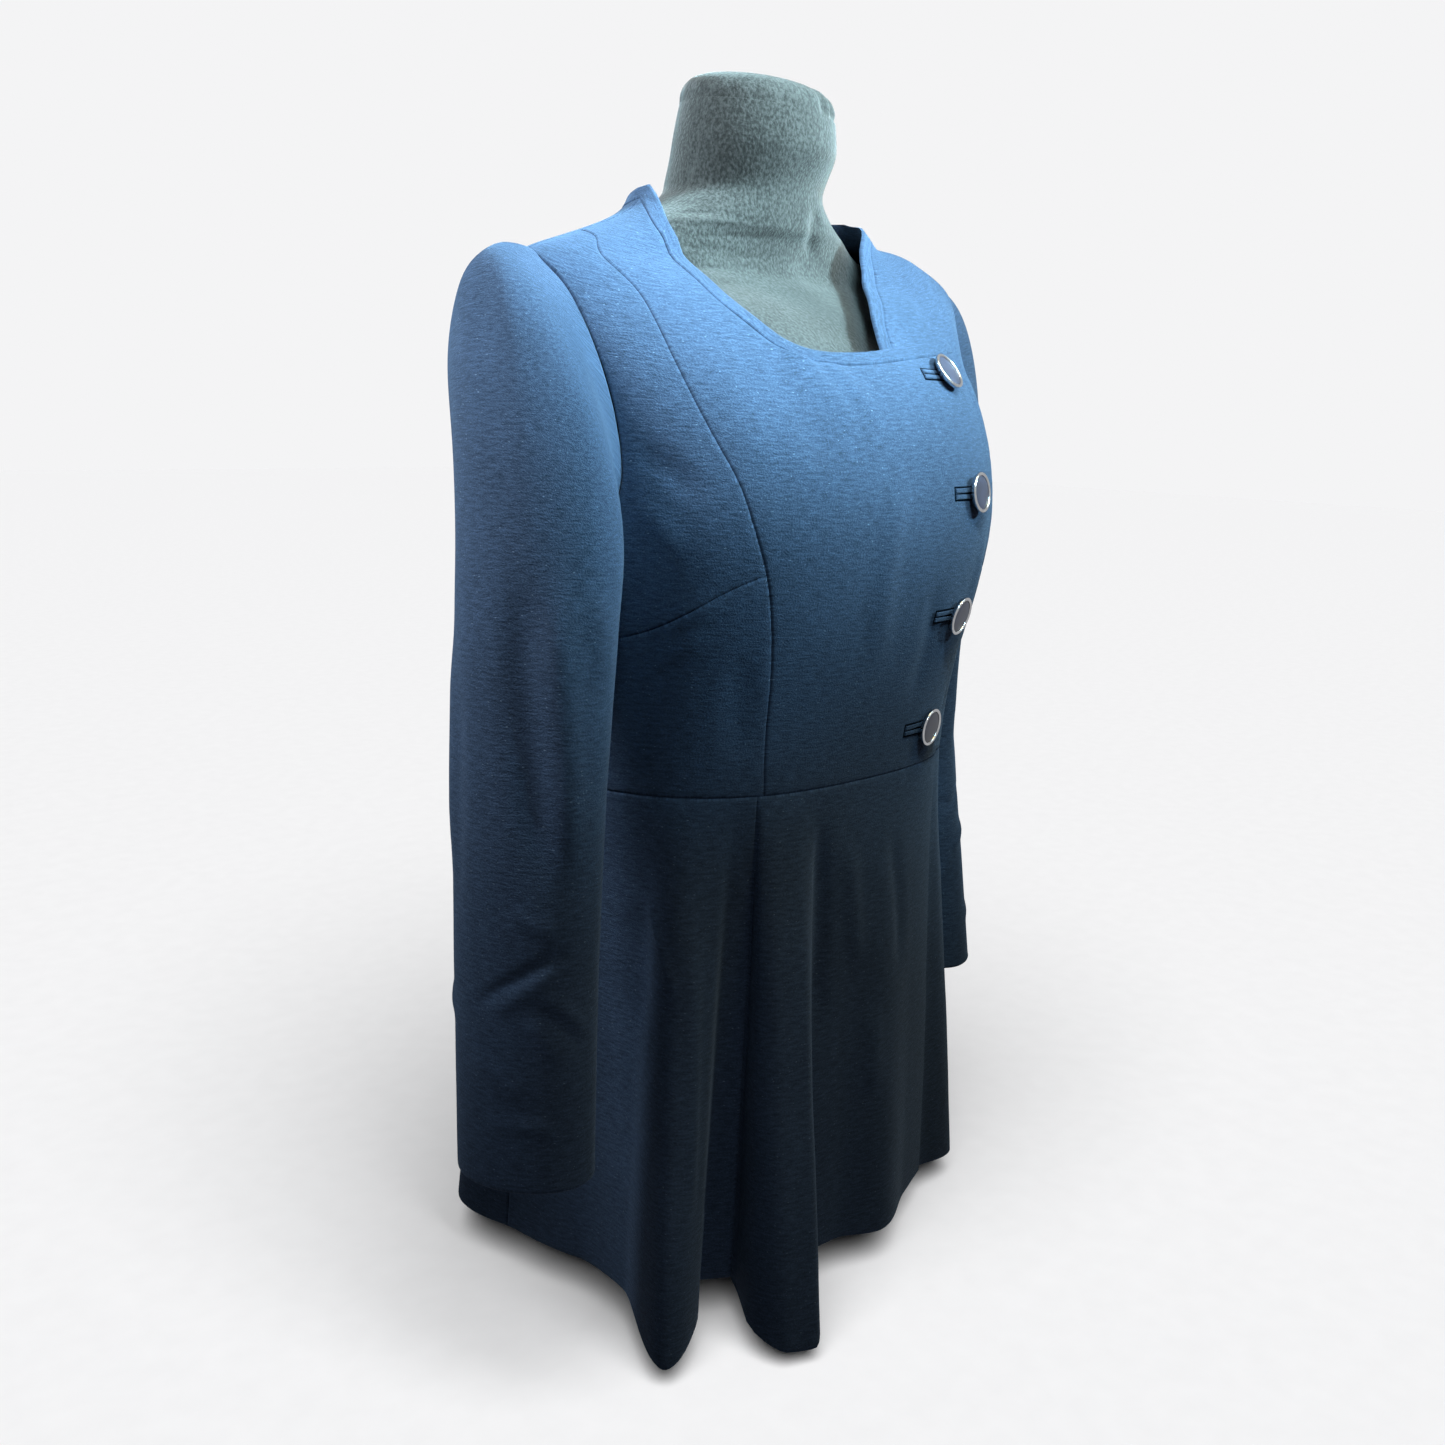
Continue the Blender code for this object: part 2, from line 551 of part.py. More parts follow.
def make_sleeves(cloth, armhole):
    """A two-piece sleeve for each side, from the armhole's own points."""
    count = len(armhole) - 1
    under = ARMHOLE_COUNTS[0]
    for side, rows in SLEEVES.items():
        flip = 1 if side == "right" else -1
        surface = sleeve_surface(rows, torso(armhole * (flip, 1)) * (flip, 1, 1), CAP_REACH[side])

        def face(spots, surface=surface, flip=flip):
            return surface(spots * (flip, 1)) * (flip, 1, 1)

        levels = joined(np.linspace(0, 1, SLEEVE_STEPS[1] + 1), np.linspace(1, 2, SLEEVE_STEPS[0] + 1))
        middle = count // 2
        for name, start, end in (("under", middle - under, middle + under),
                                 ("upper", middle + under, middle - under + count)):
            u, v = np.meshgrid(np.arange(start, end + 1.0), levels)
            block = np.stack([u, v], -1)
            if flip < 0:
                block = mirrored([block])[0]
            panel(f"sleeve_{side}_{name}", face, [block], cloth, step=(0.01, 0.002))


def loft(name, rings, finish):
    """A closed body through rings of points, with a flat face at each end."""
    count = len(rings[0])
    faces = [tuple(range(count))[::-1], tuple(len(rings) * count - count + k for k in range(count))]
    for i in range(len(rings) - 1):
        for k in range(count):
            a, b = i * count + k, i * count + (k + 1) % count
            faces.append((a, b, b + count, a + count))
    mesh = bpy.data.meshes.new(name)
    mesh.from_pydata(np.concatenate(rings), [], faces)
    return add_object(name, mesh, finish)


def turned(name, profile, finish, segments, matrix):
    """A turned piece: its outline from the top of the axis, down the outer side and back to the axis."""
    mesh = bpy.data.meshes.new(name)
    edges = [(k, k + 1) for k in range(len(profile) - 1)]
    mesh.from_pydata([(radius, 0, height) for radius, height in profile], edges, [])
    mesh.materials.append(finish)
    piece = bpy.data.objects.new(name, mesh)
    bpy.data.collections["asymmetric_coat"].objects.link(piece)
    screw = piece.modifiers.new("turn", "SCREW")
    screw.axis = "Z"
    screw.angle = 2 * math.pi
    screw.steps = screw.render_steps = segments
    screw.use_merge_vertices = True
    screw.merge_threshold = 0.00001
    screw.use_smooth_shade = True
    piece.matrix_world = matrix
    return piece


def make_form(jersey, metal):
    """The dress form: its covered body, its neck cap, and the post and base under it."""
    angles = np.radians(np.linspace(-180, 180, FORM_SEGMENTS + 1)[:-1])
    centre = FORM[-1][4]

    def leaned(ring):
        """The ring raised to the waist's height, tilted down to the front left near the neck's top."""
        aside = (ring[:, 0] - ring[:, 1] + centre) / math.sqrt(2)
        drop = aside * CAP_TILT * smooth((ring[:, 2] - 0.43) / 0.044)
        return ring + (0, 0, WAIST_HEIGHT) - np.outer(drop, (0, 0, 1))

    loft("form_body", [leaned(ring_point(np.tile(row, (len(angles), 1)), angles)) for row in FORM], jersey)
    cap = [np.stack([radius * np.sin(angles), centre - radius * np.cos(angles), 0 * angles + height], -1)
           for height, radius in CAP]
    loft("form_neck_cap", [leaned(ring) for ring in cap], jersey)
    foot = WAIST_HEIGHT + FORM[0][0]
    post = [(0, foot - SEAM), (POST_RADIUS, foot - SEAM), (POST_RADIUS, BASE_THICKNESS + SEAM),
            (0, BASE_THICKNESS + SEAM)]
    turned("form_post", post, metal, 24, Matrix())
    base = [(0, BASE_THICKNESS), (BASE_RADIUS - BASE_BEVEL, BASE_THICKNESS),
            (BASE_RADIUS, BASE_THICKNESS - BASE_BEVEL), (BASE_RADIUS, 0), (0, 0)]
    turned("form_base", base, metal, 40, Matrix())


def make_buttons(silver, enamel, cloth):
    """Four shank buttons, each with an enamelled inlay and the two welts of its buttonhole."""
    for number, height in enumerate(BUTTON_HEIGHTS, 1):
        spot = place(BUTTON_ANGLE, height)
        point, normal = torso(spot), normals(torso, spot)
        out = Vector(normal)
        across = Vector((0, 0, 1)).cross(out).normalized()
        matrix = Matrix((across, out.cross(across), out)).transposed().to_4x4()
        matrix.translation = Vector(point) + Vector((0, 0, WAIST_HEIGHT))
        back, front = BUTTON_STAND, BUTTON_STAND + BUTTON_THICKNESS
        rim, seat = BUTTON_RADIUS - BUTTON_RIM, BUTTON_STAND + 0.0022
        foot = WELT_RAISE + SEAM
        body = [(0, seat), (rim, seat), (rim, front - 0.0006), (rim + 0.0009, front),
                (BUTTON_RADIUS - 0.0005, front - 0.0004), (BUTTON_RADIUS, front - 0.0018),
                (BUTTON_RADIUS - 0.0014, back), (SHANK_RADIUS, back), (SHANK_RADIUS, foot), (0, foot)]
        turned(f"button_{number}_body", body, silver, 24, matrix)
        inlay = rim - SEAM
        dome = [(0, front - 0.0001), (inlay * 0.6, front - 0.0004), (inlay, front - 0.0011),
                (inlay, seat + SEAM), (0, seat + SEAM)]
        turned(f"button_{number}_inlay", dome, enamel, 24, matrix)
        turn = torso(spot + (0.5, 0)) - torso(spot - (0.5, 0))
        rise = torso(spot + (0, 0.01)) - torso(spot - (0, 0.01))
        per_degree, per_level = np.linalg.norm(turn), np.linalg.norm(rise) / 0.02
        start, end = BUTTON_ANGLE - (WELT_LENGTH - 0.003) / per_degree, BUTTON_ANGLE + 0.003 / per_degree
        for side, sign in (("upper", 1), ("lower", -1)):
            near, far = WELT_GAP / 2 / per_level, (WELT_GAP / 2 + WELT_WIDTH) / per_level
            low, high = sorted((sign * near, sign * far))
            block = lattice(start, end, spot[1] + low, spot[1] + high, 5, 1)
            panel(f"buttonhole_{number}_{side}", torso, [block], cloth, WELT_RAISE - SEAM, WELT_RAISE)


def main():
    for old in list(bpy.data.objects):
        bpy.data.objects.remove(old, do_unlink=True)
    coat = bpy.data.collections.new("asymmetric_coat")
    bpy.context.scene.collection.children.link(coat)
    cloth = material("navy_crepe", NAVY, 0.85)
    armhole = make_bodice(cloth)
    make_skirt(cloth)
    make_sleeves(cloth, armhole)
    make_form(material("black_jersey", JERSEY, 0.9), material("painted_steel", STEEL, 0.45, 0.8))
    make_buttons(material("silver_plate", SILVER, 0.25, 1.0), material("navy_enamel", ENAMEL, 0.2), cloth)


main()
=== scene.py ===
"""The looks of an asymmetric coat worn on a low dress form.

Metres, +Z up. The coat's front faces -Y and its wearer's left is at +X. Heights in the tables are measured
from the waist seam, and angles run round the body in degrees from the front centre, positive towards the
wearer's left.
"""
import json
import math

import bpy
import numpy as np
from bpy.props import FloatProperty, FloatVectorProperty, PointerProperty
from mathutils import Matrix, Vector

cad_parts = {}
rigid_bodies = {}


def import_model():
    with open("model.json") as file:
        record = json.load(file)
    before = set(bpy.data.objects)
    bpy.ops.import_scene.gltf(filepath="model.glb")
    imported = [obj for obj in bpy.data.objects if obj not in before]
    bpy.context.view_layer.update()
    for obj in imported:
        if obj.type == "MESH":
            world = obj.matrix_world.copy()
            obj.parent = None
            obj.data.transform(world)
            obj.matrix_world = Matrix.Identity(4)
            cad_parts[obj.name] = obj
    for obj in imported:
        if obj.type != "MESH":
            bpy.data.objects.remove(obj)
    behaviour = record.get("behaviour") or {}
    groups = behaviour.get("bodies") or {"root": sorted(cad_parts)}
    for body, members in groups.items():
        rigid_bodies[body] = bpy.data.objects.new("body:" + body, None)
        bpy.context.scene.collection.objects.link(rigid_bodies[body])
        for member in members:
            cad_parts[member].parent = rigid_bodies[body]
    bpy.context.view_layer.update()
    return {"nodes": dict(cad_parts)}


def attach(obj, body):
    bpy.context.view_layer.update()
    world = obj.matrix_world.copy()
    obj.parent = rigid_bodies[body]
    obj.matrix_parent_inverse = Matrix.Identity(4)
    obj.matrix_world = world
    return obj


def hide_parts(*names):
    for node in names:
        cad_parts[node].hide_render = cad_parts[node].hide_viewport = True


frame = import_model()

bl_info = {
    "name": "Asymmetric coat on a dress form",
    "version": (1, 0, 0),
    "blender": (4, 5, 0),
    "location": "3D View > Sidebar > Coat",
    "description": "Builds the cloth, dress form, buttons and studio of a navy asymmetric coat",
    "category": "Add Mesh",
}

# Driving dimensions, in metres and degrees
WAIST_HEIGHT = 0.398
CLOTH = 0.0015
BAND_CLOTH = 0.0020
SEAM = 0.0003
BAND_WIDTH = 0.0115
BAND_RAISE = 0.0003
UNDERLAP_INSET = 0.0027
UNDERLAP_ANGLE = -3.0
CLOSURE_ANGLE = 34.5
SIDE_ANGLE = 92.0
PLEAT_ANGLE = 31.5
BUTTON_ANGLE = 22.5
BUTTON_RADIUS = 0.0145
BUTTON_THICKNESS = 0.0042
BUTTON_STAND = 0.0032
BUTTON_RIM = 0.0024
SHANK_RADIUS = 0.0026
BUTTON_HEIGHTS = (0.291, 0.208, 0.119, 0.031)
WELT_LENGTH = 0.033
WELT_RAISE = 0.0010
CAP_TILT = 0.10

# How much finer than the solids the cloth is meshed
FINE = 5
# How a seam's edge rolls under, as (distance in from the edge, drop below the face)
EDGE_ROLL = ((0.0, 0.0009), (0.0007, 0.00025), (0.0019, 0.0))
# The least share of a sharp corner's two edges that it is drawn in by, the share of the nearest quad that a
# rolled edge may take, and the quad's size where none is measured
CORNER_LEAST = 0.4
EDGE_SHARE = 0.6
EDGE_ROOM = 0.004
# Places closer than this many decimals are one place
SPOT_DIGITS = 5
# Steps either side of a place for its normal and slopes, as (degrees or steps round, levels or lengths up)
NORMAL_STEP = (0.02, 0.0005)
SLEEVE_NORMAL_STEP = (0.01, 0.002)
BAND_STEP = (0.1, 0.01)
WELT_STEP = (0.5, 0.01)
# Moves from the neck seam out to the band's edge, and points that measure the levels, a seam and an edge
BAND_MOVES = 6
LEVEL_SAMPLES = 700
SEAM_SAMPLES = 80
EDGE_SAMPLES = 60

# Rings round the body, each a level section of the coat's outer face or of the form: height, half width,
# depth in front, depth behind, the centre's y, and how square the front and the back are
TORSO = np.array((
    (-0.060, 0.181, 0.160, 0.130, 0.017, 2.5, 2.3),
    (0.000, 0.176, 0.154, 0.119, 0.012, 2.6, 2.3),
    (0.060, 0.178, 0.160, 0.120, 0.010, 2.6, 2.3),
    (0.120, 0.184, 0.171, 0.125, 0.006, 2.6, 2.4),
    (0.180, 0.190, 0.177, 0.130, 0.002, 2.6, 2.5),
    (0.235, 0.194, 0.170, 0.132, 0.002, 2.5, 2.6),
    (0.290, 0.198, 0.145, 0.125, 0.006, 2.4, 2.6),
    (0.330, 0.200, 0.110, 0.105, 0.010, 2.2, 2.4),
    (0.352, 0.200, 0.080, 0.082, 0.012, 2.1, 2.2),
    (0.364, 0.190, 0.062, 0.067, 0.012, 2.0, 2.0),
    (0.374, 0.163, 0.056, 0.062, 0.012, 2.0, 2.0),
    (0.384, 0.134, 0.053, 0.060, 0.012, 2.0, 2.0),
    (0.394, 0.110, 0.054, 0.060, 0.012, 2.0, 2.0),
    (0.404, 0.096, 0.056, 0.060, 0.012, 2.0, 2.0),
    (0.418, 0.088, 0.056, 0.060, 0.013, 2.0, 2.0),
    (0.434, 0.084, 0.056, 0.060, 0.014, 2.0, 2.0),
))
SKIRT = np.array((
    (0.000, 0.176, 0.154, 0.119, 0.012, 2.6, 2.3),
    (-0.060, 0.180, 0.158, 0.126, 0.016, 2.4, 2.3),
    (-0.120, 0.184, 0.164, 0.133, 0.021, 2.3, 2.2),
    (-0.200, 0.191, 0.173, 0.140, 0.028, 2.2, 2.2),
    (-0.280, 0.197, 0.181, 0.146, 0.034, 2.1, 2.1),
    (-0.368, 0.203, 0.188, 0.150, 0.040, 2.0, 2.0),
))
FORM = np.array((
    (-0.150, 0.146, 0.118, 0.106, 0.020, 2.2, 2.2),
    (-0.080, 0.146, 0.118, 0.104, 0.016, 2.2, 2.2),
    (0.000, 0.134, 0.108, 0.092, 0.010, 2.3, 2.2),
    (0.060, 0.140, 0.122, 0.096, 0.008, 2.3, 2.2),
    (0.120, 0.152, 0.140, 0.106, 0.006, 2.3, 2.3),
    (0.180, 0.165, 0.153, 0.116, 0.004, 2.4, 2.4),
    (0.235, 0.174, 0.146, 0.121, 0.004, 2.4, 2.5),
    (0.290, 0.182, 0.120, 0.116, 0.008, 2.3, 2.5),
    (0.327, 0.188, 0.090, 0.096, 0.011, 2.2, 2.3),
    (0.347, 0.188, 0.066, 0.074, 0.012, 2.1, 2.2),
    (0.3605, 0.176, 0.053, 0.060, 0.012, 2.0, 2.0),
    (0.3715, 0.150, 0.050, 0.056, 0.011, 2.0, 2.0),
    (0.3816, 0.121, 0.051, 0.055, 0.009, 2.0, 2.0),
    (0.3926, 0.097, 0.056, 0.055, 0.006, 2.0, 2.0),
    (0.405, 0.076, 0.058, 0.058, 0.006, 2.0, 2.0),
    (0.420, 0.062, 0.057, 0.056, 0.0035, 2.0, 2.0),
    (0.446, 0.0615, 0.062, 0.056, -0.004, 2.0, 2.0),
    (0.472, 0.0575, 0.058, 0.055, -0.008, 2.0, 2.0),
))
# The cap's outline, as (height, radius)
CAP = ((0.4723, 0.0565), (0.4780, 0.0560), (0.4850, 0.0535), (0.4900, 0.0480), (0.4930, 0.0380),
       (0.4945, 0.0220))

# How far the wearer's left shoulder hangs from the mirror image of the right one, at its neck and its tip,
# and the share of its height above a level by which the neck's side lies flatter
LEFT_SETTLE, LEFT_SETTLE_ABOVE = 0.42, 0.400
LEFT_NECK_SHIFT = np.array((0.008, -0.026, -0.008))
LEFT_TIP_SHIFT = np.array((0.008, -0.028, 0.004))
# Where that sets in, each as the place it starts at and the distance over which it grows
LEFT_ABOVE, LEFT_ASIDE, LEFT_BEHIND = (0.29, 0.08), (-0.02, 0.11), (0.012, 0.05)
LEFT_TIP_ASIDE, LEFT_NECK_ASIDE, LEFT_NECK_BEHIND = (0.09, 0.05), (0.02, 0.05), (0.0, 0.03)

# Seams of the right half of the bodice, as (angle, height)
PRINCESS = ((-30, 0), (-31, 0.041), (-32, 0.085), (-34, 0.127), (-36, 0.157), (-39, 0.190), (-41, 0.214),
            (-44, 0.240), (-46.5, 0.269), (-48, 0.299), (-48.5, 0.327), (-52, 0.354), (-68, 0.374),
            (-90, 0.3795))
PRINCESS_CUTS = (4, 5, 9)
PRINCESS_COUNTS = (5, 2, 3, 6)
BUST_SEAM = ((-92, 0.098), (-78, 0.104), (-61, 0.114), (-49, 0.134), (-42, 0.148), (-36, 0.157))
SIDE_SEAM = ((-92, 0), (-92, 0.050), (-92, 0.098), (-92, 0.182))
ARMHOLE_FRONT = ((-92, 0.182), (-78, 0.186), (-66, 0.203), (-64, 0.232), (-64, 0.273), (-65.5, 0.310),
                 (-69, 0.340), (-76, 0.3555), (-90, 0.3635))
ARMHOLE_BACK = ((-92, 0.182), (-105, 0.187), (-114, 0.203), (-117, 0.235), (-117, 0.270), (-114, 0.310),
                (-109.5, 0.338), (-103, 0.3545), (-90, 0.3635))
ARMHOLE_COUNTS = (4, 9)
SHOULDER = ((-90, 0.3635), (-90, 0.3795), (-90, 0.4065))
NECK_FRONT = ((-90, 0.4065), (-64, 0.391), (-45, 0.378), (-33, 0.356), (-31, 0.334), (-28, 0.318),
              (-24, 0.303), (-18, 0.2955), (-10, 0.294), (2, 0.297), (20, 0.305), (CLOSURE_ANGLE, 0.310))
NECK_FRONT_CUT = 7
NECK_LEFT = ((-90, 0.4065), (-56, 0.400), (-37, 0.389), (-27, 0.377), (-20.5, 0.365), (-16, 0.352),
             (-13, 0.339), (-10.8, 0.328), (-9.6, 0.317), (-8, 0.304), (-4, 0.290), (3, 0.279))
NECK_LEFT_CUT = 9
# The left front's top edge under the lap, as angles and heights, how its inset fades out beside and above
# it, and how many degrees the inset holds past the front's own edge
UNDERLAP_TOP = ((0, 20, CLOSURE_ANGLE), (0.311, 0.319, 0.324))
UNDERLAP_BESIDE = (CLOSURE_ANGLE + 0.6, 8)
UNDERLAP_ABOVE = 0.020
UNDERLAP_MARGIN = 10
NECK_BACK = ((-180, 0.3945), (-150, 0.396), (-118, 0.401), (-90, 0.4065))
# Those seams by the names of their stretches, with each stretch's steps and where the rows are cut
BODICE_SEAMS = (
    (("side_low", "side_high"), SIDE_SEAM, (5, 2), (2,)),
    (("arm_low", "arm_high"), ARMHOLE_FRONT, ARMHOLE_COUNTS, (2,)),
    (("back_low", "back_high"), ARMHOLE_BACK, ARMHOLE_COUNTS, (2,)),
    (("shoulder_out", "shoulder_in"), SHOULDER, (3, 3), (1,)),
    (("bust",), BUST_SEAM, (7,), ()),
    (("neck_side", "neck_low"), NECK_FRONT, (6, 9), (NECK_FRONT_CUT,)),
    (("left_side", "left_low"), NECK_LEFT, (6, 3), (NECK_LEFT_CUT,)),
    (("back_neck",), NECK_BACK, (4,), ()),
)
# The level from which the bodice's cloth is measured, below the waist
BODICE_FOOT = 0.5
# Steps of the edges that aren't seams, and the height of the line across the back
CHEST_COUNT, SIDE_COUNT, CLOSING_COUNT = 3, 7, 10
BACK_COUNT, BACK_LINE_COUNT, BACK_RISE_COUNTS = 14, 10, (7, 9)
BACK_LINE_HEIGHT = 0.190

# Folds of the skirt round its waist: waist angle, degrees that the fold turns by the hem, how far the hem
# stands out from the plain ring and how far it rises
FOLDS = (
    (-180, 0.0, 0.000, 0.000),
    (-158, 0.0, 0.012, 0.000),
    (-136, 0.0, -0.004, 0.000),
    (-112, 0.0, 0.008, 0.000),
    (-88, 3.0, -0.012, 0.000),
    (-68, 2.0, -0.008, 0.000),
    (-57, 4.0, 0.016, -0.004),
    (-47, 3.0, 0.088, -0.016),
    (-39.5, 0.5, 0.050, -0.008),
    (-36, -1.5, 0.008, 0.000),
    (-31.5, 0.5, 0.008, 0.000),
    (-30, -0.5, 0.054, -0.010),
    (-27, 1.0, 0.080, -0.017),
    (-22, 0.5, 0.080, -0.019),
    (-14, 0.5, 0.000, 0.000),
    (-4, 0.0, -0.002, 0.000),
    (9, 0.0, 0.013, -0.003),
    (23, 1.0, 0.004, -0.004),
    (35, 2.5, 0.010, -0.005),
    (48, 2.0, 0.040, -0.010),
    (64, 0.0, 0.040, -0.008),
    (84, -2.0, 0.004, 0.000),
    (104, 0.0, 0.016, 0.000),
    (128, 0.0, -0.004, 0.000),
    (156, 0.0, 0.012, 0.000),
    (180, 0.0, 0.000, 0.000),
)
# How the folds grow on the way down, and the rows of the skirt's mesh before it is made finer
FOLD_GROWTH = 1.15
SKIRT_ROWS = 16
# The skirt's pieces: name, start and end angle, columns before they are made finer, and if the lap hides it
SKIRT_PIECES = (
    ("skirt_back_right", -180, -SIDE_ANGLE, 14, False),
    ("skirt_side_right", -SIDE_ANGLE, -PLEAT_ANGLE, 16, False),
    ("skirt_front_right", -PLEAT_ANGLE, CLOSURE_ANGLE, 20, False),
    ("skirt_front_left", UNDERLAP_ANGLE, PLEAT_ANGLE, 5, True),
    ("skirt_side_left", PLEAT_ANGLE, SIDE_ANGLE, 12, True),
    ("skirt_back_left", SIDE_ANGLE, 180, 14, False),
)

# Sections down each sleeve below the armhole: height, how far its centre is out from the middle of the coat,
# the centre's y, half width, half depth and degrees of turn
SLEEVES = {
    "right": np.array((
        (0.150, 0.235, -0.058, 0.041, 0.058, 18),
        (0.020, 0.250, -0.069, 0.038, 0.053, 22),
        (-0.110, 0.260, -0.079, 0.036, 0.049, 27),
        (-0.237, 0.266, -0.087, 0.034, 0.047, 30),
    )),
    "left": np.array((
        (0.150, 0.233, 0.006, 0.041, 0.058, 18),
        (0.020, 0.240, 0.012, 0.038, 0.053, 22),
        (-0.110, 0.249, -0.001, 0.036, 0.049, 27),
        (-0.232, 0.254, -0.020, 0.034, 0.047, 30),
    )),
}
# Rows of a sleeve's mesh below its top and in its head
SLEEVE_ROWS = (120, 40)
# How full each sleeve's head is where it leaves the armhole and where it meets the sleeve
CAP_REACH = {"right": (1.12, 1.0), "left": (0.55, 0.80)}
# The way that the head leaves the armhole: out, forward and back round it, up round it, and up all round
CAP_LEAVES = (1.0, 0.30, 0.16, 0.04)
# Lengths of the head's two handles, as a mean and a swing from top to underarm
CAP_START, CAP_END = (0.033, 0.019), (0.0985, 0.0865)
# The level just below the sleeve's top that gives its slope, the steps of the armhole that are repeated to
# close its curve, and metres that the surface runs on past the cuff for each whole level
SLOPE_LEVEL = 0.98
ARMHOLE_WRAP = 6
CUFF_RUN_ON = 0.4

# The photograph's camera, and half the floor's width
CAMERA_PLACE = (-0.7961, -0.8038, 0.660)
CAMERA_AIM = (0.6839, 0.6983, -0.2113)
CAMERA_ROLL = 1.67
CAMERA_LENS = 36.025
SENSOR_WIDTH = 36
FLOOR_REACH = 12.0
# Each light's power in watts, its place, the point it looks at, its beam's spread in degrees and its tint
LIGHTS = {
    "key": (2.80, (0.40, -0.82, 1.30), (-0.01, -0.10, 0.82), 22, (0.62, 1.0, 1.10)),
    "right": (0.32, (0.75, -0.75, 1.35), (0.10, -0.05, 0.75), 50, (0.80, 1.0, 1.0)),
    "neck": (0.50, (-0.35, -0.70, 1.45), (0.02, -0.05, 0.98), 14, (1.0, 0.95, 0.95)),
    "left": (1.05, (-0.45, -0.60, 1.50), (-0.05, -0.08, 0.82), 20, (0.64, 1.0, 1.12)),
    "rear": (1.10, (-0.75, 0.35, 1.50), (-0.25, -0.02, 0.72), 26, (0.90, 1.0, 1.04)),
    "wide": (0.72, (0.15, -0.45, 1.25), (0.05, -0.08, 0.60), 90, (1.0, 0.88, 0.45)),
    "low": (0.055, (-0.60, -0.95, 0.90), (-0.12, -0.08, 0.14), 20, (0.95, 1.0, 1.0)),
}
LIGHT_SIDE = 0.38
FLOOR_LIGHT_TILT = (22, -18)
FLOOR_LIGHT_SOFTNESS = 60
# How bright the paper is in reflections, as a share
GLOSS_ROOM = 0.55

BAND_ROWS = 5
# The form's rings between two table rows, the points of a ring, how far it keeps inside the solid's flat
# sides and where that ends, and where its tilt sets in
FORM_STEPS = 9
FORM_FINE_SEGMENTS = 168
FORM_TUCK = 0.0014
TUCK_END = (0.395, 0.03)
LEAN_START = (0.43, 0.044)
# The cap's rings between two table rows, its fine puckers, as a share of its radius and their number round,
# and where they fade out at its foot and its middle
CAP_STEPS = 5
CAP_PUCKER = 0.004
CAP_PUCKERS = 19
PUCKER_FOOT = (CAP[0][0], 0.006)
PUCKER_MIDDLE = (0.010, 0.035)
# How far the turned-in edges behind a seam lap over each other
SEAM_LAP = 0.0004
# A buttonhole's welts: how far they run on past the button's middle, their width, how wide the slit gapes at
# the button and at its other end, how proud they stand, how their edges roll, and their mesh
WELT_PAST = 0.003
WELT_SHOWN = 0.0034
WELT_MOUTH = 0.0021
WELT_END_GAP = 0.0009
WELT_PROUD = 0.0006
WELT_ROLL = ((0, 0.0008), (0.0003, 0.0003), (0.0009, 0))
WELT_COLUMNS, WELT_ROWS = 40, 6
# The strip of painted shade under and round the welts, dark where the buttonhole's groove lies in shade
DITCH_WIDTH = 0.0008
DITCH_RAISE = 0.0007
DITCH_CLOTH = 0.0004
DITCH_ROLL = ((0, 0.0002), (0.0001, 0.0001), (0.0003, 0))
DITCH_ROWS = 10
# A button's cup: how high its floor is, its rolled rim's height, steps and ends in radians, and its side, as
# (distance in from the rim, height above its back)
BUTTON_SEGMENTS = 72
BUTTON_SEAT = 0.0022
RIM_ROLL = 0.0010
RIM_STEPS = 9
RIM_ENDS = 0.1
CUP_SIDE = ((0.0002, 0.0022), (0.0009, 0.0006), (0.0022, 0.0))
# The enamel's face, as (share of its radius, depth below the rim's top)
ENAMEL_FACE = ((0, 0.0004), (0.5, 0.00045), (0.8, 0.00065), (0.95, 0.0009), (1, 0.0012))
# Edges sharper than this many degrees are drawn sharp
SHARP_ANGLE = 60
# Columns and rows of the tables that measure the cloth, and how far inside their last cell they are read
GRAIN_COLUMNS, GRAIN_ROWS = 360, 160
GRAIN_MARGIN = 0.001

# Waves of the cloth's lie: millimetres to a radian along x, y and z, or 0 for none, the start and the weight
RUMPLE_WAVES = (
    (17, 0, 41, 1.3, 1.0),
    (0, 23, -29, 4.1, 1.0),
    (37, -31, 19, 0.0, 1.0),
    (16, -14, 9.5, 2.2, 0.6),
)
# A crease's points: how many find its length, metres between two, and the fewest
CREASE_SAMPLES = 200
CREASE_STEP = 0.0015
CREASE_LEAST = 8
# How many half widths a crease reaches, and the share of its length over which each end fades out
CREASE_REACH = 3
CREASE_FADE = 0.3

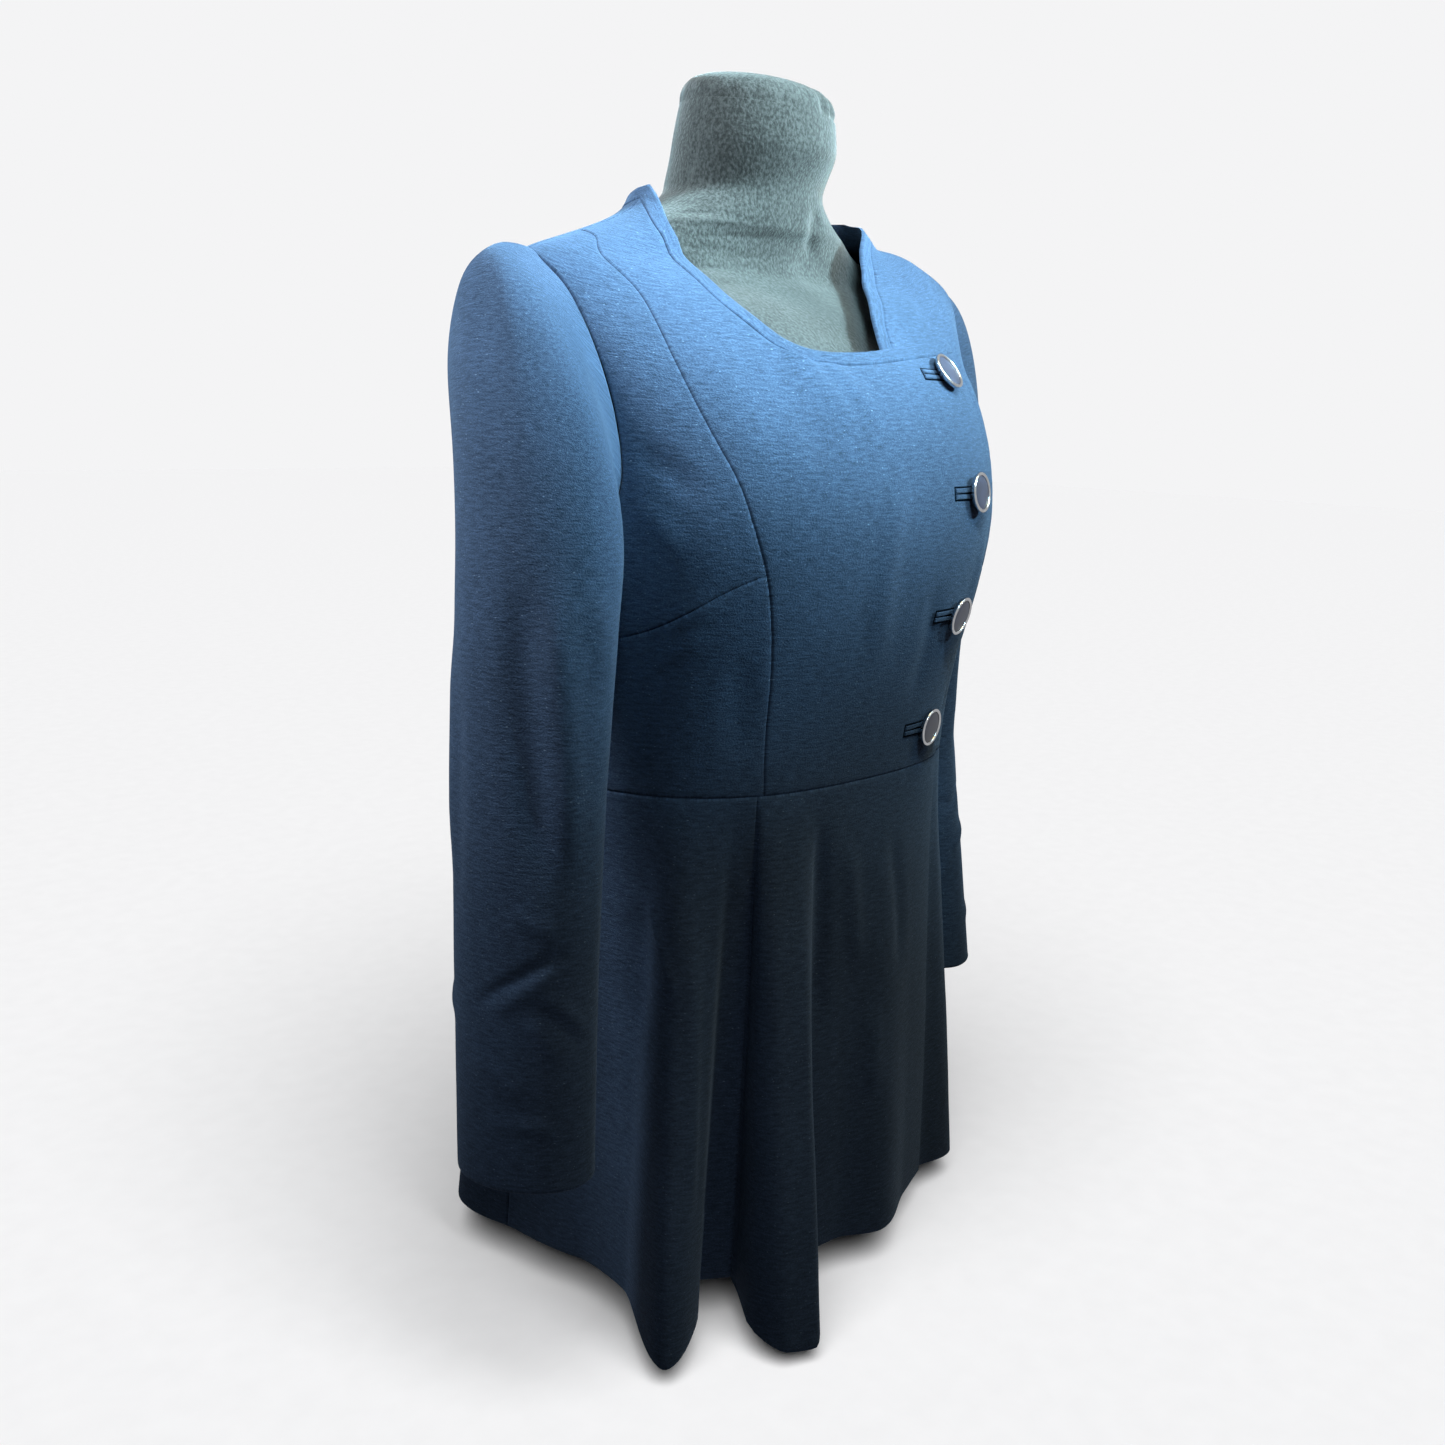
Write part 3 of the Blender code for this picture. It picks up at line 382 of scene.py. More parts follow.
# Soft creases as three places that each runs through, then its half width and its height in millimetres.
# A height below zero is a trough. Places are (angle, height) on the bodice, (waist angle, share of the
# skirt's length down, as minus) on the skirt, and (step round the armhole, place along) on a sleeve.
BODICE_CREASES = (
    (-21.6, 0.315, -19.8, 0.288, -13.5, 0.254, 9, 2.7),
    (-15.9, 0.306, -11.7, 0.280, -5.4, 0.259, 8, 2.1),
    (-27.0, 0.300, -26.0, 0.262, -22.0, 0.225, 10, -1.8),
    (-39.9, 0.311, -38.7, 0.268, -37.5, 0.218, 12, 1.8),
    (-1.8, 0.239, -7.2, 0.165, -1.2, 0.077, 12, 2.1),
    (-38.7, 0.107, -38.1, 0.072, -36.6, 0.021, 9, -2.1),
    (-57.9, 0.112, -50.1, 0.128, -42.0, 0.141, 6, 1.5),
    (-58.0, 0.092, -52.0, 0.104, -46.0, 0.120, 6, 1.5),
    (-62.0, 0.235, -55.0, 0.225, -48.0, 0.205, 8, -2.1),
    (-64.0, 0.205, -58.0, 0.190, -52.0, 0.165, 8, 2.1),
    (8.0, 0.150, 14.0, 0.100, 12.0, 0.050, 10, -1.8),
    (30.0, 0.180, 31.0, 0.140, 28.0, 0.080, 8, 1.8),
    (40.0, 0.310, 39.0, 0.270, 37.0, 0.215, 12, 1.8),
    (58.0, 0.235, 52.0, 0.220, 46.0, 0.205, 8, -1.8),
    (60.0, 0.110, 52.0, 0.125, 44.0, 0.140, 6, 1.5),
    (39.0, 0.100, 38.5, 0.070, 37.0, 0.020, 9, -1.8),
    (-110.0, 0.100, -100.0, 0.080, -88.0, 0.090, 8, -1.8),
    (112.0, 0.095, 101.0, 0.080, 88.0, 0.085, 8, -1.8),
    (-120.0, 0.300, -112.0, 0.260, -108.0, 0.210, 10, -2.1),
    (120.0, 0.295, 112.0, 0.255, 108.0, 0.210, 10, -2.1),
    (-150.0, 0.330, -158.0, 0.250, -165.0, 0.150, 16, 2.4),
    (150.0, 0.325, 157.0, 0.260, 166.0, 0.140, 16, 2.4),
    (-172.0, 0.020, -150.0, 0.030, -128.0, 0.015, 8, 2.4),
    (-168.0, 0.050, -148.0, 0.065, -125.0, 0.050, 9, 2.1),
    (170.0, 0.025, 150.0, 0.036, 126.0, 0.020, 8, 2.4),
    (165.0, 0.058, 146.0, 0.068, 128.0, 0.058, 8, 1.8),
)
SKIRT_CREASES = (
    (-55.8, -0.21, -51.6, -0.34, -46.5, -0.44, 3.4, 2.2),
    (-59.1, -0.25, -56.4, -0.39, -55.2, -0.53, 12, -2.6),
    (-45.9, -0.22, -43.8, -0.51, -42.9, -0.83, 6, 3.1),
    (-59.1, -0.75, -51.3, -0.68, -43.8, -0.67, 3.0, -1.2),
    (-14.7, -0.06, -12.6, -0.30, -13.2, -0.60, 8, -5.4),
    (-4.8, -0.12, -2.4, -0.31, 0.0, -0.49, 9, 3.1),
    (4.5, -0.54, 4.8, -0.64, 3.9, -0.74, 9, 2.6),
    (9.6, -0.12, 14.7, -0.35, 15.0, -0.52, 9, -2.4),
    (-78.0, -0.08, -77.0, -0.35, -75.0, -0.75, 11, 2.4),
    (60.0, -0.10, 58.0, -0.40, 57.0, -0.80, 10, 2.6),
    (100.0, -0.05, 98.0, -0.40, 97.0, -0.85, 12, -2.6),
    (140.0, -0.05, 138.0, -0.40, 138.0, -0.80, 12, 2.6),
    (-140.0, -0.08, -138.0, -0.45, -138.0, -0.85, 12, 2.6),
    (-110.0, -0.10, -108.0, -0.40, -106.0, -0.75, 12, -2.6),
    (175.0, -0.10, 172.0, -0.50, 172.0, -0.90, 12, 2.2),
    (130.0, -0.62, 138.0, -0.60, 146.0, -0.63, 3.2, -1.2),
    (52.0, -0.55, 60.0, -0.58, 66.0, -0.54, 3.2, -1.2),
    (-150.0, -0.52, -141.0, -0.55, -133.0, -0.52, 3.2, -1.2),
)
SLEEVE_CREASES = {
    "right": (
        (1.1, 1.04, 1.4, 0.83, 2.9, 0.49, 13, -4.4),
        (2.6, 1.04, 3.3, 0.83, 4.2, 0.51, 11, 4.4),
        (4.9, 1.00, 5.5, 0.95, 6.0, 0.84, 9, 2.4),
        (4.3, 0.43, 1.7, 0.39, -2.1, 0.31, 4.2, -1.9),
        (3.4, 0.40, 1.6, 0.36, -0.9, 0.31, 7.0, 1.3),
        (0.4, 0.47, 1.7, 0.47, 3.5, 0.44, 6.5, 1.0),
        (1.6, 0.36, 3.3, 0.33, 5.7, 0.27, 5.5, 1.1),
        (1.9, 0.33, 3.5, 0.30, 5.5, 0.23, 4.5, -1.1),
        (1.2, 0.32, 2.3, 0.28, 3.7, 0.22, 5.5, 1.0),
        (-1.5, 0.11, 1.2, 0.12, 3.8, 0.10, 5.0, 1.0),
        (-2.6, 0.23, -0.1, 0.20, 1.1, 0.15, 8.0, 1.4),
        (10.0, 0.40, 12.5, 0.36, 15.0, 0.41, 4.5, -2.2),
        (16.0, 0.47, 18.5, 0.42, 21.0, 0.45, 4.0, -2.4),
        (17.0, 0.36, 19.5, 0.33, 22.0, 0.27, 5.0, 1.8),
        (18.0, 1.00, 18.5, 0.80, 19.5, 0.55, 12, -2.4),
        (20.5, 0.95, 21.0, 0.75, 21.2, 0.50, 11, 2.4),
        (22.6, 0.90, 23.0, 0.70, 22.4, 0.40, 10, -1.6),
    ),
    "left": (
        (-2.0, 0.45, -4.5, 0.41, -7.0, 0.43, 3.8, -2.6),
        (-1.5, 0.36, -3.5, 0.32, -6.0, 0.30, 5.0, 1.8),
        (-5.2, 0.30, -6.6, 0.24, -8.2, 0.22, 4.0, 1.6),
        (-1.2, 1.00, -1.6, 0.80, -3.0, 0.50, 12, -2.8),
        (-3.0, 1.00, -3.5, 0.80, -4.4, 0.52, 11, 2.8),
        (0.5, 0.16, -1.5, 0.13, -4.0, 0.12, 6.0, 1.2),
        (-10.5, 0.42, -12.5, 0.38, -15.0, 0.43, 4.5, -2.0),
        (-16.0, 0.46, -18.5, 0.43, -21.0, 0.47, 4.0, -2.2),
        (-17.5, 0.36, -20.0, 0.32, -22.5, 0.28, 5.0, 1.8),
        (-19.0, 1.00, -19.5, 0.80, -20.5, 0.55, 12, -2.2),
        (-21.6, 0.92, -22.2, 0.74, -22.0, 0.48, 10, 2.2),
    ),
}
# Wrinkles of the jersey round the neck, as (angle, height, half width in degrees, half height and height in
# millimetres, millimetres up for each degree round)
NECK_WRINKLES = (
    (-40, 0.3875, 17, 2.2, -1.0, 0.05),
    (-26, 0.3935, 10, 1.8, -1.0, -0.04),
    (-22, 0.3820, 16, 2.0, -0.7, 0.10),
    (-30, 0.3720, 12, 2.0, -1.0, 0.02),
    (-14, 0.3690, 9, 1.8, -1.1, 0.12),
    (-24, 0.3590, 10, 2.2, -1.2, 0.10),
    (-20, 0.3480, 9, 1.8, -1.0, 0.20),
    (-52, 0.3960, 14, 2.4, -1.2, 0.06),
    (15, 0.3850, 3.2, 16.0, -3.2, 0.0),
    (9, 0.3640, 3.0, 11.0, -2.2, 0.0),
    (20, 0.3990, 4.0, 8.0, -2.2, 0.0),
    (3, 0.4170, 2.0, 1.8, -0.8, 0.0),
    (12, 0.4440, 22, 12.0, 1.6, 0.1),
    (-30, 0.4280, 26, 9.0, 1.0, 0.1),
    (-84, 0.4300, 1.7, 34.0, -0.9, 0.0),
    (120, 0.3960, 30, 2.4, -1.2, 0.05),
    (150, 0.4050, 24, 2.2, -1.2, -0.04),
    (96, 0.4300, 1.7, 34.0, -0.9, 0.0),
)
# Gathers of the cover on top of the cap, as (angle, half width in degrees, height in millimetres)
CAP_GATHERS = ((12, 3.0, -1.6), (20, 2.6, 1.2), (27, 3.0, -1.8), (36, 3.4, 1.4), (45, 3.2, -1.2),
               (-150, 4, -1.0))


def spline(knots, values):
    """A natural cubic spline through rows of values, as a function of an array of positions."""
    knots = np.asarray(knots, float)
    values = np.asarray(values, float)
    count, gaps = len(knots), np.diff(knots)
    matrix, right = np.eye(count), np.zeros_like(values)
    for i in range(1, count - 1):
        matrix[i, i - 1:i + 2] = gaps[i - 1], 2 * (gaps[i - 1] + gaps[i]), gaps[i]
        right[i] = 6 * ((values[i + 1] - values[i]) / gaps[i] - (values[i] - values[i - 1]) / gaps[i - 1])
    bends = np.linalg.solve(matrix, right)

    def at(where):
        where = np.asarray(where, float)
        i = np.clip(np.searchsorted(knots, where) - 1, 0, count - 2)
        gap = gaps[i]
        below = ((knots[i + 1] - where) / gap)[..., None]
        above = ((where - knots[i]) / gap)[..., None]
        bend = (below ** 3 - below) * bends[i] + (above ** 3 - above) * bends[i + 1]
        return below * values[i] + above * values[i + 1] + bend * gap[..., None] ** 2 / 6

    return at


def eased(knots, values):
    """A curve through rows of values that never swings past them, as a function of positions."""
    knots = np.asarray(knots, float)
    values = np.asarray(values, float)
    gaps = np.diff(knots)[:, None]
    climbs = np.diff(values, axis=0) / gaps
    turns = np.zeros_like(values)
    product = climbs[:-1] * climbs[1:]
    safe = np.where(product > 0, climbs[:-1] + climbs[1:], 1)
    turns[1:-1] = np.where(product > 0, 2 * product / safe, 0)

    def at(where):
        where = np.asarray(where, float)
        i = np.clip(np.searchsorted(knots, where) - 1, 0, len(knots) - 2)
        gap = gaps[i]
        t = (where - knots[i])[..., None] / gap
        start = (2 * t ** 3 - 3 * t ** 2 + 1) * values[i] + (t ** 3 - 2 * t ** 2 + t) * gap * turns[i]
        return start + (3 * t ** 2 - 2 * t ** 3) * values[i + 1] + (t ** 3 - t ** 2) * gap * turns[i + 1]

    return at


def smooth(value):
    """A soft step from 0 to 1 as the value runs from 0 to 1."""
    value = np.clip(value, 0, 1)
    return value * value * (3 - 2 * value)


def fade(value, start, over):
    """A soft step from 0 to 1 as the value runs on from a start over a distance."""
    return smooth((value - start) / over)


def ring_point(row, angle):
    """The point at an angle in radians on a ring that a table row describes."""
    height, width, front, back, centre, front_square, back_square = np.moveaxis(row, -1, 0)
    across, ahead = np.sin(angle), np.cos(angle)
    square = np.where(ahead > 0, front_square, back_square)
    depth = np.where(ahead > 0, front, back)
    size = (np.abs(across) ** square + np.abs(ahead) ** square) ** (1 / square)
    return np.stack([width * across / size, centre - depth * ahead / size, height], -1)


torso_row = spline(range(len(TORSO)), TORSO)
skirt_row = spline(np.linspace(0, 1, len(SKIRT)), SKIRT)
fold_row = eased([fold[0] for fold in FOLDS], [fold[1:] for fold in FOLDS])
LEVELS = np.linspace(0, len(TORSO) - 1, LEVEL_SAMPLES)
LEVEL_HEIGHTS = torso_row(LEVELS)[:, 0]


def place(angle, height):
    """A place on the bodice, as (angle in degrees, level in the table's rows)."""
    return np.array([angle, np.interp(height, LEVEL_HEIGHTS, LEVELS)])


def places(rows):
    """The places of a table of (angle, height)."""
    return np.array([place(*row) for row in rows])


def turned_forward(points):
    """The points moved as the wearer's left shoulder hangs, forward and low at the neck."""
    x, y, z = np.moveaxis(points, -1, 0)
    share = fade(z, *LEFT_ABOVE) * fade(x, *LEFT_ASIDE) * (1 - fade(y, *LEFT_BEHIND))
    outer = fade(x, *LEFT_TIP_ASIDE)[..., None]
    beside = fade(x, *LEFT_NECK_ASIDE) * (1 - fade(y, *LEFT_NECK_BEHIND))
    drop = LEFT_SETTLE * np.maximum(z - LEFT_SETTLE_ABOVE, 0) * beside
    shift = share[..., None] * (outer * LEFT_TIP_SHIFT + (1 - outer) * LEFT_NECK_SHIFT)
    return points + shift - drop[..., None] * (0, 0, 1)


def torso(spots):
    """Points of the bodice's outer face at places of (angle, level)."""
    return turned_forward(ring_point(torso_row(spots[..., 1]), np.radians(spots[..., 0])))


def skirt(spots):
    """Points of the skirt's outer face at places of (waist angle, -1 at the hem to 0 at the waist)."""
    down = -spots[..., 1]
    shift, fold, rise = np.moveaxis(fold_row(spots[..., 0]), -1, 0)
    angle = np.radians(spots[..., 0] + shift * down)
    point = ring_point(skirt_row(down), angle)
    grown = np.maximum(down, 0) ** FOLD_GROWTH
    out = np.stack([np.sin(angle), -np.cos(angle), 0 * angle], -1)
    return point + out * (fold * grown)[..., None] + np.stack([0 * rise, 0 * rise, rise * grown], -1)


def slopes(surface, spots, step):
    """How far a surface's points move for one unit across and one up, from points a step either side."""
    return [(surface(spots + aside) - surface(spots - aside)) / (2 * sum(aside))
            for aside in ((step[0], 0), (0, step[1]))]


def normals(surface, spots, step=NORMAL_STEP):
    """Outward unit normals of a surface at an array of places."""
    normal = np.cross(*slopes(surface, spots, step))
    return normal / np.linalg.norm(normal, axis=-1, keepdims=True)


def lengths(points):
    """The distance along a path to each of its points."""
    return np.concatenate([[0], np.cumsum(np.linalg.norm(np.diff(points, axis=0), axis=1))])


def even(path, count, surface):
    """The same path in a number of steps of equal length on the surface."""
    reach = lengths(surface(path))
    stops = np.linspace(0, reach[-1], count + 1)
    return np.stack([np.interp(stops, reach, path[:, k]) for k in range(path.shape[1])], -1)


def seam(rows, counts, cuts):
    """A smooth seam of the bodice through rows of places, cut into stretches of so many steps."""
    points = places(rows)
    reach = lengths(torso(points))
    curve = spline(reach, points)
    stops = [0, *(reach[cut] for cut in cuts), reach[-1]]
    stretches = zip(stops, stops[1:], counts)
    return [even(curve(np.linspace(start, stop, SEAM_SAMPLES)), FINE * count, torso)
            for start, stop, count in stretches]


def straight(start, end, count):
    """A straight path of places in a number of steps."""
    return start + np.linspace(0, 1, count + 1)[:, None] * (np.asarray(end) - start)


def joined(*paths):
    """Paths end to end as one, with each shared corner once."""
    return np.concatenate([paths[0]] + [path[1:] for path in paths[1:]])


def filled(bottom, top, left, right):
    """A lattice of places filled in between four edges that share their corners."""
    u = np.linspace(0, 1, len(bottom))[None, :, None]
    v = np.linspace(0, 1, len(left))[:, None, None]
    across = (1 - v) * bottom[None] + v * top[None]
    up = (1 - u) * left[:, None] + u * right[:, None]
    corners = ((1 - u) * (1 - v) * bottom[0] + u * (1 - v) * bottom[-1]
               + (1 - u) * v * top[0] + u * v * top[-1])
    return across + up - corners


def mirrored(blocks):
    """The same blocks on the other side of the body."""
    return [block[:, ::-1] * (-1, 1) for block in blocks]


def moved_up(path, distance):
    """A path moved across the bodice to its own left by a distance."""
    spots = path.copy()
    for _ in range(BAND_MOVES):
        aim = np.cross(normals(torso, spots), np.gradient(torso(spots), axis=0))
        aim *= distance / BAND_MOVES / np.linalg.norm(aim, axis=1, keepdims=True)
        turn, rise = slopes(torso, spots, BAND_STEP)
        for i, step in enumerate(aim):
            spots[i] += np.linalg.lstsq(np.stack([turn[i], rise[i]], 1), step, rcond=None)[0]
    return spots


def underlap(spots, points):
    """How far the left front lies behind the coat's face, where the right front covers it."""
    angle = np.mod(spots[..., 0] + 180, 360) - 180
    top = np.interp(angle, *UNDERLAP_TOP)
    beside = 1 - fade(angle, *UNDERLAP_BESIDE)
    above = 1 - fade(points[..., 2], top, UNDERLAP_ABOVE)
    return UNDERLAP_INSET * beside * above * (angle > UNDERLAP_ANGLE - UNDERLAP_MARGIN)


def band_underlap(spots, points):
    """The same for the band, whose left half runs on past the back at angles below -180."""
    return underlap(spots, points) * (spots[..., 0] < -180)


def sleeve_surface(rows, armhole, reach):
    """A sleeve's outer face at places of (step round the armhole, 0 at the cuff to 2 at the armhole)."""
    count = len(armhole) - 1
    wrapped = np.concatenate([armhole[-ARMHOLE_WRAP - 1:-1], armhole, armhole[1:ARMHOLE_WRAP + 1]])
    edge = spline(np.arange(len(wrapped)) - ARMHOLE_WRAP, wrapped)
    out, forward, up_round, up = CAP_LEAVES
    section = spline(np.linspace(1, 0, len(rows))[::-1], rows[::-1])

    def tube(round_angle, along):
        height, aside, centre, width, depth, turn = np.moveaxis(section(along), -1, 0)
        turn = np.radians(turn)
        across, ahead = -width * np.cos(round_angle), -depth * np.sin(round_angle)
        return np.stack([-aside + across * np.cos(turn) - ahead * np.sin(turn),
                         centre + across * np.sin(turn) + ahead * np.cos(turn), height], -1)

    def at(spots):
        step = np.mod(spots[..., 0], count)
        angle = 2 * math.pi * step / count
        below = tube(angle, np.clip(spots[..., 1], 0, 1))
        hang = tube(angle, np.ones_like(angle)) - tube(angle, np.full_like(angle, SLOPE_LEVEL))
        hang /= np.linalg.norm(hang, axis=-1, keepdims=True)
        leave = np.stack([0 * angle - out, -forward * np.sin(angle), up_round * np.cos(angle) + up], -1)
        leave /= np.linalg.norm(leave, axis=-1, keepdims=True)
        start, end = edge(step), tube(angle, np.ones_like(angle))
        first = start + leave * (reach[0] * (CAP_START[0] + CAP_START[1] * np.cos(angle)))[..., None]
        last = end + hang * (reach[1] * (CAP_END[0] + CAP_END[1] * np.cos(angle)))[..., None]
        t = np.clip(2 - spots[..., 1], 0, 1)[..., None]
        s = 1 - t
        cap = s ** 3 * start + 3 * s ** 2 * t * first + 3 * s * t ** 2 * last + t ** 3 * end
        past = hang * np.minimum(spots[..., 1:], 0) * CUFF_RUN_ON
        return np.where(spots[..., 1:] > 1, cap, below + past)

    return at


def curve_on(surface, row):
    """Even points along a crease that a table row lays on the surface through three places."""
    start, middle, end = (np.array(row[k:k + 2], float) for k in (0, 2, 4))
    if surface is torso:
        start, middle, end = (place(*spot) for spot in (start, middle, end))
    t = np.linspace(0, 1, CREASE_SAMPLES)[:, None]
    bend = 2 * middle - (start + end) / 2
    path = (1 - t) ** 2 * start + 2 * t * (1 - t) * bend + t ** 2 * end
    reach = lengths(surface(path))
    return surface(even(path, max(CREASE_LEAST, int(reach[-1] / CREASE_STEP)), surface))


def relief(points, surface, creases):
    """How far the creases lift the cloth at an array of points. Each fades out towards its ends."""
    total = np.zeros(len(points))
    for row in creases:
        width, depth = row[6] / 1000, row[7] / 1000
        line = curve_on(surface, row)
        low, high = line.min(0) - CREASE_REACH * width, line.max(0) + CREASE_REACH * width
        near = np.where(((points > low) & (points < high)).all(1))[0]
        if not len(near):
            continue
        gaps = np.linalg.norm(points[near, None] - line[None], axis=2)
        nearest = gaps.argmin(1)
        along = nearest / (len(line) - 1)
        ends = fade(along, 0, CREASE_FADE) * fade(1 - along, 0, CREASE_FADE)
        total[near] += depth * ends * np.exp(-(gaps.min(1) / width) ** 2)
    return total


def rumple(points, height):
    """The slight uneven lie of the cloth, always outwards, from waves too long to read as a pattern."""
    total, most = np.zeros(len(points)), 0
    for *spans, start, weight in RUMPLE_WAVES:
        turn = points @ [1000 / span if span else 0 for span in spans]
        total += weight * np.sin(turn + start)
        most += weight
    return height * (total + most) / (2 * most)


def arc_table(surface, start_u, end_u, start_v, end_v, zero_u, zero_v):
    """A function that gives the metres of cloth around and up to each place, for the grain of its weave."""
    us = np.linspace(start_u, end_u, GRAIN_COLUMNS + 1)
    vs = np.linspace(start_v, end_v, GRAIN_ROWS + 1)
    u, v = np.meshgrid(us, vs)
    points = surface(np.stack([u, v], -1))
    around = np.zeros(u.shape)
    around[:, 1:] = np.cumsum(np.linalg.norm(np.diff(points, axis=1), axis=2), axis=1)
    up = np.zeros(u.shape)
    up[1:] = np.cumsum(np.linalg.norm(np.diff(points, axis=0), axis=2), axis=0)
    around -= around[:, np.searchsorted(us, zero_u)][:, None]
    up -= up[np.searchsorted(vs, zero_v)][None]

    def at(spots):
        row = (spots[:, 1] - start_v) / (end_v - start_v) * GRAIN_ROWS
        column = (spots[:, 0] - start_u) / (end_u - start_u) * GRAIN_COLUMNS
        row = np.clip(row, 0, GRAIN_ROWS - GRAIN_MARGIN)
        column = np.clip(column, 0, GRAIN_COLUMNS - GRAIN_MARGIN)
        low, left = row.astype(int), column.astype(int)
        s, t = row - low, column - left
        return np.stack([(1 - s) * ((1 - t) * table[low, left] + t * table[low, left + 1])
                         + s * ((1 - t) * table[low + 1, left] + t * table[low + 1, left + 1])
                         for table in (around, up)], -1)

    return at


def cloth_shell(name, surface, blocks, finish, grain_at, creases=(), thick=CLOTH, raise_by=0.0, behind=None,
                step=NORMAL_STEP, lie=0.0, roll=EDGE_ROLL, lap=SEAM_LAP):
    """A cut piece of cloth: fine lattices of places as a thin wall whose edges roll under at its seams."""
    index, spots, quads = {}, [], []
    for block in blocks:
        numbers = np.empty(block.shape[:2], int)
        for cell in np.ndindex(*numbers.shape):
            key = tuple(np.round(block[cell], SPOT_DIGITS))
            if key not in index:
                index[key] = len(spots)
                spots.append(block[cell])
            numbers[cell] = index[key]
        quads += [(numbers[i, j], numbers[i, j + 1], numbers[i + 1, j + 1], numbers[i + 1, j])
                  for i in range(numbers.shape[0] - 1) for j in range(numbers.shape[1] - 1)]
    quads = [tuple(int(v) for v in quad) for quad in quads]
    spots = np.array(spots)
    grain = grain_at(spots)
    points, normal = surface(spots), normals(surface, spots, step)
    if behind:
        points = points - normal * behind(spots, points)[:, None]
    edges = {}
    for quad in quads:
        for a, b in zip(quad, quad[1:] + quad[:1]):
            if (b, a) in edges:
                del edges[b, a]
            else:
                edges[a, b] = True
    aims, room = {}, {}
    for a, b in edges:
        aim = np.cross(normal[a] + normal[b], points[b] - points[a])
        for end in (a, b):
            aims.setdefault(end, []).append(aim / np.linalg.norm(aim))
    for quad in quads:
        for a, b in zip(quad, quad[1:] + quad[:1]):
            for here, there in ((a, b), (b, a)):
                if here in aims and there not in aims:
                    reach = np.linalg.norm(points[there] - points[here])
                    room[here] = min(reach, room.get(here, 1))
    rim = list(aims)
    rim_index = {spot: k for k, spot in enumerate(rim)}
    inward = np.array([sum(pair) / max(1 + pair[0] @ pair[1], CORNER_LEAST)
                       for pair in (aims[spot] for spot in rim)])
    widths = EDGE_SHARE / roll[-1][0] * np.array([room.get(spot, EDGE_ROOM) for spot in rim])
    scale = np.minimum(1.0, widths)[:, None]
    lift = relief(points, surface, creases) + rumple(points, lie)
    outer = points + normal * (raise_by + lift)[:, None]
    inner = outer - normal * thick
    edge, up = outer[rim] + inward * SEAM / 2, normal[rim]
    inner[rim] -= inward * lap
    loops = [edge + inward * inset * scale - up * drop for inset, drop in roll]
    outer[rim] = loops[-1]
    count, ring = len(outer), len(rim)
    verts = np.concatenate([outer, inner, *loops[:-1]]) + (0, 0, WAIST_HEIGHT)
    faces = quads + [tuple(v + count for v in reversed(quad)) for quad in quads]
    for a, b in edges:
        stack_a, stack_b = ([end + count, *(2 * count + k * ring + rim_index[end]
                                            for k in range(len(loops) - 1)), end] for end in (a, b))
        faces += [(stack_b[k + 1], stack_a[k + 1], stack_a[k], stack_b[k]) for k in range(len(stack_a) - 1)]
    threads = np.concatenate([grain, grain, *[grain[rim]] * (len(loops) - 1)])
    shell = add_piece(name, verts, faces, finish, threads)


def add_piece(name, verts, faces, finish, threads=None):
    """A mesh as a named piece that stands for the solid of the same name."""
    mesh = bpy.data.meshes.new(name)
    mesh.from_pydata(verts, [], faces)
    mesh.materials.append(finish)
    if threads is not None:
        layer = mesh.attributes.new("grain", "FLOAT_VECTOR", "POINT")
        layer.data.foreach_set("vector", np.concatenate([threads, 0 * threads[:, :1]], 1).ravel())
    mesh.shade_smooth()
    mesh.set_sharp_from_angle(angle=math.radians(SHARP_ANGLE))
    piece = bpy.data.objects.new("shell_" + name, mesh)
    bpy.context.scene.collection.objects.link(piece)
    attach(piece, "root")
    if name in frame["nodes"]:
        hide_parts(name)
    return piece


def lattice(start_u, end_u, start_v, end_v, columns, rows):
    """An even lattice of places between two pairs of values."""
    u, v = np.meshgrid(np.linspace(start_u, end_u, columns + 1), np.linspace(start_v, end_v, rows + 1))
    return np.stack([u, v], -1)


def bodice_seams():
    """The bodice's seams as fine paths of places, by name."""
    paths = {"princess": seam(PRINCESS, PRINCESS_COUNTS, PRINCESS_CUTS)}
    for names, rows, counts, cuts in BODICE_SEAMS:
        paths.update(zip(names, seam(rows, counts, cuts)))
    return paths


def bodice_grain():
    """The grain of the bodice, measured from the front centre and the waist."""
    return arc_table(torso, -180, 180, BODICE_FOOT, len(TORSO) - 1, 0, 1)


